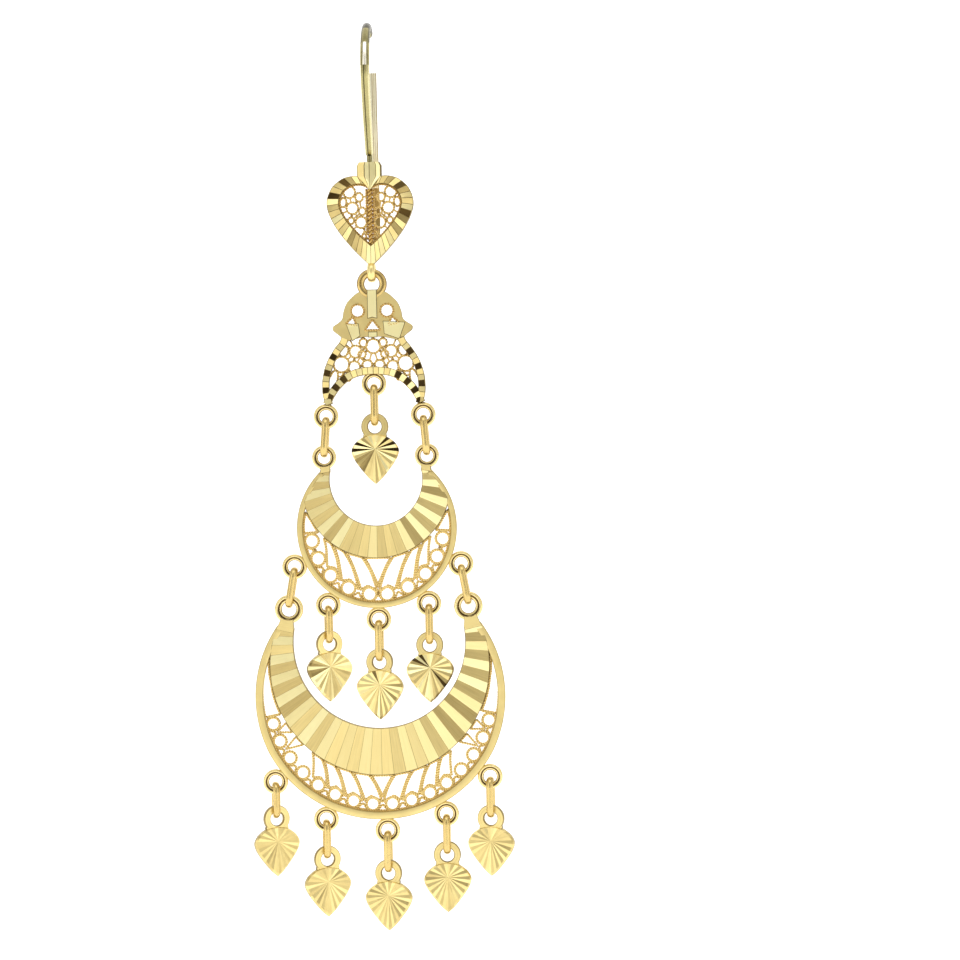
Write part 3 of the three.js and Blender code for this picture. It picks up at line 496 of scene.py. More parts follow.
def solder(form, loops, edges=(), near=0.34, far=0.8):
    """Grains of solder where flat wire paths nearly touch, and short struts where they lie a little apart."""
    tables = [np.array([[p[0], p[2]] for p in evenly(path, 0.12, closed)])
              for paths, closed in ((loops, True), (edges, False)) for path in paths]
    for i, one in enumerate(tables[:len(loops)]):
        for other in tables[i + 1:]:
            gaps = np.linalg.norm(one[:, None] - other[None, :], axis=2)
            a, b = np.unravel_index(np.argmin(gaps), gaps.shape)
            middle = (one[a] + other[b]) / 2
            if gaps[a, b] < near:
                bead(form, (middle[0], -0.02, middle[1]), BEAD_RADIUS, 0.2)
            elif gaps[a, b] < far:
                strut = [one[a] + (other[b] - one[a]) * k / 4 for k in range(5)]
                tube(form, lifted(strut), STRUT_RADIUS, 6, tone=0.5)


def turned_ring(form, centre, profile, steps=44):
    """A ring in the XZ plane from a closed profile of (radius, depth, tone of the face that follows)."""
    rows = [[(centre[0] + math.cos(turn) * radius, depth, centre[1] + math.sin(turn) * radius)
             for radius, depth, _ in profile] for turn in turns_round(steps)]
    form.add_rows(rows, True, [tone for _, _, tone in profile] * steps)


def grooved_profile(radius, wire):
    """A ring's section: a round outer bead and a thin inner one with a groove between, the groove and the
    inside painted dark as shade and the outer side painted darker as a dark reflection.
    """
    outer, inner = wire * 0.6, wire * 0.46
    outer_at, inner_at = radius + wire - outer, radius - wire + inner
    points = []
    for k in range(11):
        share = -0.66 + 1.32 * k / 10
        shade = RING_SIDE_DARK_REFLECTION if abs(share) < 0.26 else RING_FACE_TONE
        points.append((outer_at + math.cos(share * math.pi) * outer, math.sin(share * math.pi) * outer,
                       RING_GROOVE_SHADE if k in (9, 10) else shade))
    for k in range(9):
        share = 0.4 + 1.2 * k / 8
        shade = RING_INSIDE_SHADE if 0.75 < share < 1.25 else RING_FACE_TONE
        points.append((inner_at + math.cos(share * math.pi) * inner, math.sin(share * math.pi) * inner,
                       RING_GROOVE_SHADE if k in (0, 8) else shade))
    return points


def flat_profile(radius, wire, cut_line_shade, dark_edge_reflection, depth):
    """A flat ring's section with bevelled edges painted darker as dark reflections, a dark line painted round
    its face for the shade of a fine cut line, and its inside painted dark as shade.
    """
    inside, outside = radius - wire, radius + wire
    return [
        (inside, -depth * 0.6, dark_edge_reflection), (inside + 0.08, -depth, FLAT_TONE),
        (radius - 0.02, -depth, cut_line_shade), (radius + 0.04, -depth, FLAT_TONE),
        (outside - 0.08, -depth, dark_edge_reflection), (outside, -depth * 0.6, dark_edge_reflection),
        (outside, depth * 0.5, FLAT_TONE), (outside - 0.1, depth * 0.9, FLAT_TONE),
        (inside + 0.1, depth * 0.9, FLAT_TONE), (inside, depth * 0.5, RING_INSIDE_SHADE),
    ]


# Outlines

def smooth_curve(points, steps):
    """Catmull-Rom curve through the points, open ended."""
    ends = [points[0]] + list(points) + [points[-1]]
    made = []
    for i in range(1, len(ends) - 2):
        a, b, c, d = (np.array(ends[i + k], dtype=float) for k in (-1, 0, 1, 2))
        for s in range(steps):
            t = s / steps
            made.append(0.5 * (2 * b + (c - a) * t + (2 * a - 5 * b + 4 * c - d) * t * t
                               + (3 * b - a - 3 * c + d) * t ** 3))
    made.append(np.array(points[-1], dtype=float))
    return made


def half_curve(table, half, tall, top, count):
    """The smooth right half of an outline, from its table of shares."""
    points = [(across * half, top - down * tall) for across, down in table]
    return resampled(smooth_curve(points, 12), count)


def mirrored(points):
    return [np.array([-p[0], p[1]]) for p in reversed(points)]


def whole_outline(half):
    return half + mirrored(half)[1:-1]


def gap_shape(centre, long, wide, turn, corners):
    """A round or cornered opening, turned about its centre."""
    c, s = math.cos(turn * DEG), math.sin(turn * DEG)
    made = []
    for around in turns_round(corners):
        x, z = math.sin(around) * wide, math.cos(around) * long
        made.append(np.array([centre[0] + x * c - z * s, centre[1] + x * s + z * c]))
    return made


def gaps_from(table, half, tall, top):
    """The openings of a table, on both sides of the axis where they aren't on it."""
    made = []
    for across, down, long, wide, turn, corners in table:
        for side in ([1] if across == 0 else [1, -1]):
            centre = (side * across * half, top - down * tall)
            made.append(gap_shape(centre, long * half, wide * half, side * turn, corners))
    return made


def offset(points, width, side):
    """An open flat path moved sideways by the width, to its left where side is 1."""
    made = []
    for i, p in enumerate(points):
        before, after = points[max(i - 1, 0)], points[min(i + 1, len(points) - 1)]
        along = (after - before) / np.linalg.norm(after - before)
        made.append(p + np.array([-along[1], along[0]]) * side * width)
    return made


def reach(turn, rise, circle_rise, radius):
    """How far a circle lies from a point on the axis, at a turn from straight down."""
    lift = rise - circle_rise
    along = math.cos(turn * DEG) * lift
    return along + math.sqrt(along * along - lift * lift + radius * radius)


def offset_closed(points, width):
    """A closed path moved outwards from its centre."""
    centre = sum(points) / len(points)
    return [p + (p - centre) / np.linalg.norm(p - centre) * width for p in points]


def lifted(points, depth=0.0):
    """A flat path as a path in space, at this depth along Y."""
    return [(p[0], depth, p[1]) for p in points]


# Built forms

def add_plate(form, outline, gaps, front, back, bevel=0.03, tone=FLAT_TONE, dark_edge_reflection=0.22):
    """A flat plate with gaps cut through and softened edges, from a filled flat curve; its edges are painted
    darker as dark reflections.
    """
    data = bpy.data.curves.new("plate", "CURVE")
    data.dimensions = "2D"
    data.fill_mode = "BOTH"
    data.extrude = (front + back) / 2 - bevel
    data.bevel_depth = bevel
    data.bevel_resolution = 1
    data.offset = -bevel
    for path in [outline] + gaps:
        spline = data.splines.new("POLY")
        spline.points.add(len(path) - 1)
        for point, place in zip(spline.points, path):
            point.co = (place[0], place[1], 0, 1)
        spline.use_cyclic_u = True
    obj = placed_object("plate", data)
    mesh = bpy.data.meshes.new_from_object(obj.evaluated_get(bpy.context.evaluated_depsgraph_get()))
    middle = (back - front) / 2
    corners = [(v.co.x, middle - v.co.z, v.co.y) for v in mesh.vertices]
    faces = [list(p.vertices) for p in mesh.polygons]
    flatness = 0.95
    # Faces that aren't flat take the edge tone, a painted dark reflection
    shades = [dark_edge_reflection if abs(p.normal.z) < flatness else tone for p in mesh.polygons]
    form.add(corners, faces, shades, smooth=False)
    bpy.data.objects.remove(obj)
    bpy.data.curves.remove(data)
    bpy.data.meshes.remove(mesh)


def station(points, along, closed):
    """A point at a fractional place in the row of points."""
    first = int(math.floor(along))
    share = along - first
    count = len(points)
    here = points[first % count] if closed else points[min(first, count - 1)]
    there = points[(first + 1) % count] if closed else points[min(first + 1, count - 1)]
    return np.asarray(here) * (1 - share) + np.asarray(there) * share


def fluted_band(form, outer, inner, closed, tones, cut, back):
    """A band cut into flat flutes that tilt in turn, each with one tone that paints its reflection, and a
    seam beside each painted dark as shade.
    """
    flutes = len(tones)
    per = (len(outer) if closed else len(outer) - 1) / flutes
    stops = (0.0, cut["seam"], 0.5)
    places = [i + stop for i in range(flutes) for stop in stops] + ([] if closed else [flutes])
    rows = []
    for along in places:
        near = abs((along % 2) - 1)
        depth = cut["valley"] + (cut["ridge"] - cut["valley"]) * near
        o, n = station(outer, along * per, closed), station(inner, along * per, closed)
        inset = (n - o) * min(FLUTE_CHAMFER / max(np.linalg.norm(n - o), 1e-6), 0.3)
        rows.append([
            (o[0], back, o[1]),
            (o[0], -depth + FLUTE_CHAMFER, o[1]),
            (o[0] + inset[0], -depth, o[1] + inset[1]),
            (n[0] - inset[0], -depth, n[1] - inset[1]),
            (n[0], -depth + FLUTE_CHAMFER, n[1]),
            (n[0], back, n[1]),
        ])
    shades = []
    for k in range(len(rows) if closed else len(rows) - 1):
        flute, stop = divmod(k, len(stops))
        # A flute's seam strip takes the seam tone, painted shade between flutes; the rest takes the flute's
        # painted reflection tone
        front = cut["seam_shade_tone"] if stop == 0 else tones[flute]
        # Chamfers and sides take the edge tone, a painted dark reflection; backs take the back tone
        shades += [EDGE_DARK_REFLECTION, EDGE_DARK_REFLECTION, front, EDGE_DARK_REFLECTION, EDGE_DARK_REFLECTION, BACK_TONE]
    form.add_rows(rows, closed, shades + [EDGE_DARK_REFLECTION, EDGE_DARK_REFLECTION], smooth=False)


def rim_band(form, centre_line, half_width):
    """A band of rounded rectangular section lying along a flat path, its front corners painted darker as dark
    reflections.
    """
    section = []
    for sx, sy, start in ((1, 1, 0), (-1, 1, 90), (-1, -1, 180), (1, -1, 270)):
        for k in range(4):
            turn = (start + 30 * k) * DEG
            section.append((sx * (half_width - RIM_CORNER) + math.cos(turn) * RIM_CORNER,
                            (PLATE_BACK if sy > 0 else -RIM_FRONT) - sy * RIM_CORNER
                            + math.sin(turn) * RIM_CORNER))
    rows = [[(p[0] + (e - p)[0] * s, depth, p[1] + (e - p)[1] * s) for s, depth in section]
            for p, e in zip(centre_line, offset(centre_line, 1.0, 1))]
    front_face = len(section) * 3 // 4 - 1
    # The rounded front corners take the painted dark reflection tone
    shades = [RIM_CORNER_DARK_REFLECTION if 0 < abs(k - front_face) < 4 else FLAT_TONE for k in range(len(section))]
    form.add_rows(rows, False, shades * (len(rows) - 1) + [FLAT_TONE, FLAT_TONE])


def box_form(form, low, high, tone):
    """A plain box between two corners."""
    corners = [(x, y, z) for x in (low[0], high[0]) for y in (low[1], high[1])
               for z in (low[2], high[2])]
    faces = [[0, 1, 3, 2], [4, 6, 7, 5], [0, 4, 5, 1], [2, 3, 7, 6], [0, 2, 6, 4], [1, 5, 7, 3]]
    form.add(corners, faces, tone, smooth=False)


def facet_reflection_tones(count, rng, calm, spread):
    """Alternating pale and dull tones that paint the reflections of flutes tilting in turn, with a random
    spread; calm(share) damps them along the row.
    """
    made = []
    for i in range(count):
        sign = 1 if i % 2 else -1
        made.append(0.62 + sign * spread * (1 - calm((i + 0.5) / count)) + rng.uniform(-0.1, 0.1))
        rng.random()  # keeps later tones where they are in the row of draws
    return made


def cut_reflection_tones(count, dark_reflections, dull, step):
    """Flutes painted dull and paler in turn as reflections, with some painted black as dark reflections."""
    return [BLACK_REFLECTION_TONE if k in dark_reflections else dull + step * (k % 2) for k in range(count)]


# Materials

# Scales of the colour's mottle and of the grain, for plain metal and for brushed metal
PLAIN_SCALES = (700.0, 9000.0)
BRUSHED_SCALES = (1.0, 2.2)
BRUSHED_ROUND = 90.0
BRUSHED_OUT = 350.0
WEAR_SCALE = 2600.0
TONE_MOTTLE = 0.16
GRAIN_HEIGHT = 0.00002


def node(tree, kind, inputs=(), **settings):
    """A shader node; each input is given a number, or the socket of another node that it is joined to."""
    made = tree.nodes.new("ShaderNode" + kind)
    for key, value in settings.items():
        setattr(made, key, value)
    for key, value in dict(inputs).items():
        if isinstance(value, bpy.types.NodeSocket):
            tree.links.new(value, made.inputs[key])
        else:
            made.inputs[key].default_value = value
    return made


def gold(name, roughness, ramp, grain, brushed=None):
    """Gold whose colour runs along a ramp by the tone of each facet, which paints its reflections and shade,
    with fine surface marks.

    brushed is the height of a centre that fine scratches run out from.
    """
    material = bpy.data.materials.new(name)
    material.use_nodes = True
    tree = material.node_tree
    tree.nodes.clear()
    place = node(tree, "TexCoord").outputs["Object"]
    marks = place if brushed is None else brushed_vector(tree, place, brushed)
    mottle_scale, grain_scale = PLAIN_SCALES if brushed is None else BRUSHED_SCALES

    def noise(scale, detail, vector):
        return node(tree, "TexNoise", {"Scale": scale, "Detail": detail, "Vector": vector}).outputs["Fac"]

    tone = node(tree, "Attribute", attribute_name="tone").outputs["Fac"]
    mottled = node(tree, "Math", {0: noise(mottle_scale, 3.0, marks), 1: TONE_MOTTLE, 2: tone},
                   operation="MULTIPLY_ADD")
    colours = node(tree, "ValToRGB", {"Fac": mottled.outputs["Value"]})
    while len(colours.color_ramp.elements) < len(ramp):
        colours.color_ramp.elements.new(0.5)
    for element, (at, colour) in zip(colours.color_ramp.elements, ramp):
        element.position = at
        element.color = (*colour, 1)
    rough = node(tree, "MapRange", {"Value": noise(WEAR_SCALE, 4.0, place), "To Min": roughness * 0.75,
                                    "To Max": roughness * 1.35})
    bump = node(tree, "Bump", {"Strength": grain, "Distance": GRAIN_HEIGHT,
                               "Height": noise(grain_scale, 2.0, marks)})
    shader = node(tree, "BsdfPrincipled", {
        "Metallic": 1.0, "Base Color": colours.outputs["Color"], "Roughness": rough.outputs["Result"],
        "Normal": bump.outputs["Normal"],
    })
    node(tree, "OutputMaterial", {"Surface": shader.outputs["BSDF"]})
    return material


def brushed_vector(tree, place, height):
    """A vector that changes fast round the centre at this height, and slowly away from it."""
    shifted = node(tree, "VectorMath", {0: place, 1: (0.0, 0.0, height * MM)}, operation="SUBTRACT")
    flat = node(tree, "VectorMath", {0: shifted.outputs["Vector"], 1: (1.0, 0.0, 1.0)}, operation="MULTIPLY")
    length = node(tree, "VectorMath", {0: flat.outputs["Vector"]}, operation="LENGTH")
    parts = node(tree, "SeparateXYZ", {"Vector": flat.outputs["Vector"]}).outputs
    turn = node(tree, "Math", {0: parts["X"], 1: parts["Z"]}, operation="ARCTAN2")
    around, out = [node(tree, "Math", {0: source.outputs["Value"], 1: factor}, operation="MULTIPLY")
                   for source, factor in ((turn, BRUSHED_ROUND), (length, BRUSHED_OUT))]
    joined = node(tree, "CombineXYZ", {"X": around.outputs["Value"], "Y": out.outputs["Value"]})
    return joined.outputs["Vector"]


# Colours along the tones of each gold, as (tone, linear colour); the dark and pale ends colour the painted
# shade, dark reflections and highlights
CUT_RAMP = [
    (0.0, (0.012, 0.008, 0.004)),
    (0.2, (0.09, 0.055, 0.016)),
    (0.42, (0.47, 0.355, 0.135)),
    (0.68, (0.86, 0.69, 0.29)),
    (1.0, (1.0, 0.9, 0.47)),
]
ROPE_RAMP = [
    (0.0, (0.11, 0.05, 0.012)),
    (0.5, (0.58, 0.38, 0.12)),
    (1.0, (0.95, 0.77, 0.34)),
]
RING_RAMP = [
    (0.0, (0.02, 0.01, 0.003)),
    (0.25, (0.16, 0.085, 0.022)),
    (0.5, (0.46, 0.3, 0.095)),
    (0.75, (0.76, 0.58, 0.23)),
    (1.0, (1.0, 0.86, 0.45)),
]
WIRE_RAMP = [
    (0.0, (0.03, 0.026, 0.01)),
    (0.3, (0.13, 0.115, 0.05)),
    (0.6, (0.5, 0.44, 0.2)),
    (0.85, (0.82, 0.74, 0.42)),
    (1.0, (1.0, 0.96, 0.82)),
]
CATCH_RAMP = [
    (0.0, (0.05, 0.03, 0.01)),
    (0.35, (0.36, 0.24, 0.08)),
    (0.6, (0.74, 0.58, 0.26)),
    (1.0, (1.0, 0.95, 0.72)),
]
CUT_GOLD = gold("gold_cut", 0.3, CUT_RAMP, 0.25)
SATIN_GOLD = gold("gold_satin", 0.36, CUT_RAMP, 0.35)
SECOND_FAN_GOLD, THIRD_FAN_GOLD = [
    gold("gold_brushed_" + word, 0.38, CUT_RAMP, 0.5, brushed=tier["rim_drop"] + tier["mouth_rise"])
    for word, tier in (("two", SECOND), ("three", THIRD))]
ROPE_GOLD = gold("gold_rope", 0.26, ROPE_RAMP, 0.2)
RING_GOLD = gold("gold_ring", 0.24, RING_RAMP, 0.15)
CATCH_GOLD = gold("gold_catch", 0.3, CATCH_RAMP, 0.2)
WIRE_GOLD = gold("gold_wire_polished", 0.26, WIRE_RAMP, 0.12)


# Pieces

def wire_reflection_tone(place):
    """The wire's painted reflections: a dark crown, a dull stretch, a bright painted highlight, then a dark
    line left of its middle between paler sides.
    """
    across, _, height = place
    share = across / (WIRE_THICK / 2)
    for lowest, middle, tone, side_tone in WIRE_REFLECTION_STRETCHES:
        if height > lowest:
            return tone if abs(share) < middle else side_tone
    if WIRE_DARK_REFLECTION_LINE[0] < share < WIRE_DARK_REFLECTION_LINE[1]:
        return 0.08
    return 0.74 if share > 0.6 or share < -0.75 else 0.46


def ear_wire():
    """The bowed wire, thinner at its foot, with the neck and the eye that turns on the pin."""
    bow = [(HINGE_BACK, WIRE_FOOT_DROP)]
    bow += [(-WIRE_BOW * out, WIRE_FOOT_DROP * drop) for out, drop in WIRE_FRONT_PATH]
    bow += [(ARCH_TIP_BACK * back, -WIRE_THICK / 2 * rise) for back, rise in WIRE_ARCH_PATH]
    path = resampled(smooth_curve(bow, 14), 72)
    points = [(0.0, p[0], -p[1]) for p in path]
    foot, full = WIRE_FOOT_THICK / 2, WIRE_THICK / 2
    radii = []
    for i in range(len(points)):
        share = i / (len(points) - 1)
        radius = foot + (full - foot) * min(share / WIRE_FULL_SHARE, 1.0)
        if share > WIRE_ROUND_SHARE:
            radius *= math.sqrt(max(1 - ((share - WIRE_ROUND_SHARE) / 0.031) ** 2, 0.05))
        radii.append(radius)
    form = Form()
    # The wire's faces take their painted reflections and highlight from their place
    tube(form, points, radii, 24, tone=wire_reflection_tone)
    neck_top = -WIRE_FOOT_DROP + WELD
    neck_low = -HINGE_DROP + EYE_RADIUS - WELD
    neck = [(0, HINGE_BACK, neck_low + (neck_top - neck_low) * k / 4) for k in range(5)]
    tube(form, neck, NECK_THICK / 2, 14, tone=0.36)
    section = ((EYE_RADIUS, -1), (EYE_RADIUS, 1), (EYE_BORE, 1), (EYE_BORE, -1))
    eye = [[(across * EYE_WIDTH / 2, HINGE_BACK + math.cos(turn) * radius,
             -HINGE_DROP + math.sin(turn) * radius) for radius, across in section]
           for turn in turns_round(28)]
    form.add_rows(eye, True, 0.5, smooth=False)
    form.piece("ear_wire_bow", WIRE_BODY, "gold_wire", WIRE_GOLD, "ear_wire")


def heart_outline(half, tall, top, count):
    return whole_outline(half_curve(HEART_OUTLINE, half, tall, top, count))


def heart():
    """The fluted border with its tab and loop, the filigree inside it, the hinge and the catch."""
    rng = random.Random(4)
    steps = HEART_FLUTES * 3 // 2
    open_top = HEART_TOP - HEART_BORDER_TOP
    outer = heart_outline(HEART_HALF, HEART_TALL, HEART_TOP, steps)
    inner = heart_outline(HEART_OPEN_HALF, HEART_OPEN_TALL, open_top, steps)
    # Flute tones paint the border's reflections; the flutes that stand out get theirs from the table
    tones = facet_reflection_tones(HEART_FLUTES, rng, lambda share: 0.2, 0.12)
    for i, value in HEART_FLUTE_REFLECTIONS.items():
        tones[i] = value
    border = Form()
    fluted_band(border, outer, inner, True, tones, BOLD_CUT, PLATE_BACK)
    heart_tab(border)
    heart_loop(border)
    border.piece("heart_border", HEART_BODY, "gold_fluted", CUT_GOLD, "heart")

    lattice = Form()
    loops = [lifted(offset_closed(gap, ROPE_STRAND))
             for gap in gaps_from(HEART_GAPS, HEART_OPEN_HALF, HEART_OPEN_TALL, open_top)]
    edge = heart_outline(HEART_OPEN_HALF - 0.05, HEART_OPEN_TALL - 0.1, open_top - 0.05, 30)
    stem = [np.array([side * STEM_HALF, z]) for side, z in
            ((1, open_top - 0.5), (1, open_top - HEART_OPEN_TALL * 0.9),
             (-1, open_top - HEART_OPEN_TALL * 0.9), (-1, open_top - 0.5))]
    for loop in loops:
        rope(lattice, loop, tone=0.62)
    rope(lattice, lifted(edge, -0.1), tone=0.36)
    solder(lattice, loops, [lifted(edge + edge[:1]), lifted(stem[:2]), lifted(stem[2:])])
    heart_stem(lattice, open_top)
    lattice.piece("heart_filigree", HEART_BODY, "gold_fluted", ROPE_GOLD, "heart")
    heart_hinge()
    catch_strip()


def heart_hinge():
    """The two cheeks behind the tab and the pin that runs through them."""
    hardware = Form()
    high = TAB_TOP - HINGE_GAP
    near = EYE_WIDTH / 2 + HINGE_GAP
    for side in (1, -1):
        low_x, high_x = sorted((side * near, side * (near + CHEEK_WIDTH)))
        box_form(hardware, (low_x, -CHEEK_FRONT, high - CHEEK_TALL), (high_x, CHEEK_DEPTH, high), 0.5)
    pin = [(x, HINGE_BACK, -HINGE_DROP) for x in PIN_PLACES]
    tube(hardware, pin, PIN_THICK / 2, 14, tone=0.5)
    hardware.piece("heart_hinge", HEART_BODY, "gold_wire", WIRE_GOLD, "heart")


def heart_stem(form, open_top):
    """The plaited stem down the heart's middle: two thick strands that cross, over a pair of side wires."""
    low, high = open_top - HEART_OPEN_TALL * 0.97, open_top - HEART_OPEN_TALL * 0.08
    stem = [(0, -0.1, high + (low - high) * k / 12) for k in range(13)]
    rope(form, stem, closed=False, strand=0.155, pitch=0.8, tone=0.4)
    for side in (1, -1):
        route = [(side * STEM_HALF, 0.0, p[2]) for p in stem[:11]]
        rope(form, route, closed=False, tone=0.5)


def heart_tab(form):
    """The faceted tab over the heart's notch, running down into a pointed leaf."""
    half, back = TAB_WIDTH / 2, 0.33
    # Across as a share of the half width, depth of the front, tone of the facet to the right; the tones paint
    # the facets' reflections, pale on some and dark on others
    columns = [
        (-1.0, 0.34, 0.3), (-0.92, 0.5, 0.56), (-0.42, 0.66, 0.16), (-0.36, 0.64, 0.98), (-0.02, 0.69, 0.24),
        (0.04, 0.69, 0.9), (0.5, 0.66, 0.3), (0.56, 0.64, 0.98), (0.86, 0.5, 0.2), (1.0, 0.34, 0.3),
    ]
    levels = [(0.0, 0.84), (0.35, 1.0), (1.45, 1.0), (2.05, 0.5), (TAB_TALL, 0.04)]
    rows = []
    for down, width in levels:
        front = [(x * half * width, -depth, TAB_TOP - down) for x, depth, _ in columns]
        rows.append(front + [(x, -back, z) for x, _, z in front[::-1]])
    facets = len(columns) - 1
    shades = [tone for _, _, tone in columns[:facets]] + [BACK_TONE] + [0.5] * facets + [BACK_TONE]
    form.add_rows(rows, False, shades * (len(rows) - 1) + [0.6, 0.6], smooth=False)


def heart_loop(form):
    """The loop of flat wire under the heart, which the crown's top ring hangs in."""
    rows = []
    for around in turns_round(36):
        out = np.array([math.sin(around), math.cos(around)])
        rows.append([])
        for turn in turns_round(12):
            y, z = out * (HEART_LOOP_RADIUS + math.cos(turn) * HEART_LOOP_WIRE)
            rows[-1].append((math.sin(turn) * HEART_LOOP_WIDTH / 2, y, HEART_LOOP_Z + z))
    form.add_rows(rows, True, 0.62)


def closed_tip():
    """Where the ear wire's tip comes to when the wire is turned back onto the catch."""
    back, rise = WIRE_ARCH_PATH[-1]
    y = ARCH_TIP_BACK * back - HINGE_BACK
    z = WIRE_THICK / 2 * rise + HINGE_DROP
    c, s = math.cos(CLOSING_TURN * DEG), math.sin(CLOSING_TURN * DEG)
    return HINGE_BACK + y * c + z * s, -HINGE_DROP - y * s + z * c


def catch_strip():
    """The slotted strip soldered behind the heart, bowed back and up to where the wire's tip closes."""
    tip_back, tip_rise = closed_tip()
    top = -tip_rise + WIRE_THICK / 2 + TIP_CLEARANCE
    foot = -HEART_TOP + CATCH_FOOT_DOWN
    route = [(tip_back - TIP_OVERLAP, top)]
    route += [(CATCH_REACH * back, top + (foot - top) * down) for back, down in CATCH_PATH]
    route += [(PLATE_BACK - WELD, foot + WELD)]
    path = resampled(smooth_curve(route, 14), 70)
    points = [np.array([0.0, p[0], -p[1]]) for p in path]
    half, thick = CATCH_WIDTH / 2, CATCH_THICK / 2
    section = [(-1, 0.6), (-0.8, 1), (-0.32, 1), (-0.2, 0.35), (0.2, 0.35), (0.32, 1), (0.8, 1), (1, 0.6),
               (1, -0.6), (0.8, -1), (-0.8, -1), (-1, -0.6)]
    # Below the heart's top the strip takes one even darker tone; above it the flats are painted pale as
    # highlights and the slot's walls dark as shade
    plain_shades = [0.3] * len(section)
    slot_highlights_and_shade = [0.3, 1, 0.24, 0.9, 0.3, 1, 0.3] + [0.5] * 5
    rows, shades = [], []
    for i, p in enumerate(points):
        before, after = points[max(i - 1, 0)], points[min(i + 1, len(points) - 1)]
        along = (after - before) / np.linalg.norm(after - before)
        normal = np.cross(along, np.array([1.0, 0.0, 0.0]))
        rows.append([p + np.array([x * half, 0, 0]) + normal * (lift * thick) for x, lift in section])
        shades += plain_shades if p[2] < HEART_TOP else slot_highlights_and_shade
    form = Form()
    form.add_rows(rows, False, shades[:-len(section)] + [0.6, 0.6], smooth=False)
    form.piece("heart_catch", HEART_BODY, "gold_wire", CATCH_GOLD, "heart")


def crown():
    """The pierced plate, the fluted flanks and arch, the filigree between them and four rings."""
    brow = half_curve(CROWN_BROW, CROWN_HALF, CROWN_TALL, CROWN_TOP, 48)
    flank = half_curve(CROWN_FLANK, CROWN_HALF, CROWN_TALL, CROWN_TOP, 36)
    arch = half_curve(CROWN_ARCH, CROWN_HALF, CROWN_TALL, CROWN_TOP, 33)
    plate = Form()
    waist = [np.array([CROWN_HALF * x, CROWN_TOP - CROWN_TALL * d])
             for x, d in ((0.55, 0.44), (0.4, 0.415), (0.2, 0.395), (0.0, 0.39))]
    upper = whole_outline(brow + waist)
    gaps = gaps_from(CROWN_PLATE_GAPS, CROWN_HALF, CROWN_TALL, CROWN_TOP)
    add_plate(plate, upper, gaps, PLATE_FRONT, PLATE_BACK, tone=0.54)
    crown_relief(plate)
    plate.piece("crown_plate", CROWN_BODY, "gold_fluted", SATIN_GOLD, "crown")

    bands = Form()
    left_flank = mirrored(flank)
    whole_arch = arch + mirrored(arch)[1:]
    # Crown flute tones: dull and paler in turn and some black, all painted reflections
    right, left = [cut_reflection_tones(FLANK_FLUTES, dark_reflections, 0.5, 0.22) for dark_reflections in (DARK_REFLECTION_RIGHT, DARK_REFLECTION_LEFT)]
    for line, width, tones, back in (
            (flank, FLANK_WIDTH, right, FLANK_BACK),
            (left_flank, FLANK_WIDTH, left[::-1], FLANK_BACK),
            (whole_arch, ARCH_WIDTH, cut_reflection_tones(ARCH_FLUTES, DARK_REFLECTION_ARCH, 0.55, 0.2), ARCH_BACK)):
        fluted_band(bands, line, offset(line, width, -1), False, tones, BOLD_CUT, back)
    bands.piece("crown_bands", CROWN_BODY, "gold_fluted", CUT_GOLD, "crown")

    lattice = Form()
    loops = [lifted(offset_closed(gap, ROPE_STRAND))
             for gap in gaps_from(CROWN_WIRE_GAPS, CROWN_HALF, CROWN_TALL, CROWN_TOP)]
    for loop in loops:
        rope(lattice, loop, tone=0.62)
    for gap in gaps:
        rope(lattice, lifted(offset_closed(gap, ROPE_STRAND * 0.6), -0.32), tone=0.5)
    edges = [offset(line, FLANK_WIDTH, -1) for line in (flank, left_flank)]
    edges += [whole_arch, waist + mirrored(waist)[1:]]
    solder(lattice, loops, [lifted(edge) for edge in edges])
    lattice.piece("crown_filigree", CROWN_BODY, "gold_fluted", ROPE_GOLD, "crown")

    rings = Form()
    turned_ring(rings, (0, CROWN_RING_Z), flat_profile(CROWN_RING_RADIUS, CROWN_RING_WIRE, 0.2, 0.24, 0.37))
    for place in (CROWN_DROP_RING, CROWN_LOW_RING, (-CROWN_LOW_RING[0], CROWN_LOW_RING[1])):
        turned_ring(rings, place, grooved_profile(RING_RADIUS, RING_WIRE))
    rings.piece("crown_rings", CROWN_BODY, "gold_link", RING_GOLD, "crown")


def crown_relief(form):
    """The raised bar and the cut facets on the crown's upper plate, as (across, down) shares."""
    bar = [(-0.095, -0.02), (0.095, -0.02), (0.095, 0.235), (0.0, 0.225), (-0.095, 0.235)]
    left = [(-0.52, 0.275), (-0.27, 0.275), (-0.24, 0.385), (-0.4, 0.43)]
    right = [(0.2, 0.255), (0.64, 0.27), (0.52, 0.42), (0.22, 0.37)]
    block = [(-0.09, 0.35), (0.09, 0.35), (0.09, 0.4), (-0.09, 0.4)]
    sunk, bevel, dark_edge_reflection = -0.2, 0.06, 0.14
    # The relief faces are painted pale as highlights, their bevels dark as dark reflections
    reliefs = ((bar, 1.0, 0.46), (left, 0.88, 0.42), (right, 0.94, 0.42), (block, 0.95, 0.42))
    for outline, tone, front in reliefs:
        points = [np.array([x * CROWN_HALF, CROWN_TOP - down * CROWN_TALL]) for x, down in outline]
        add_plate(form, points[::-1], [], front, sunk, bevel, tone, dark_edge_reflection)


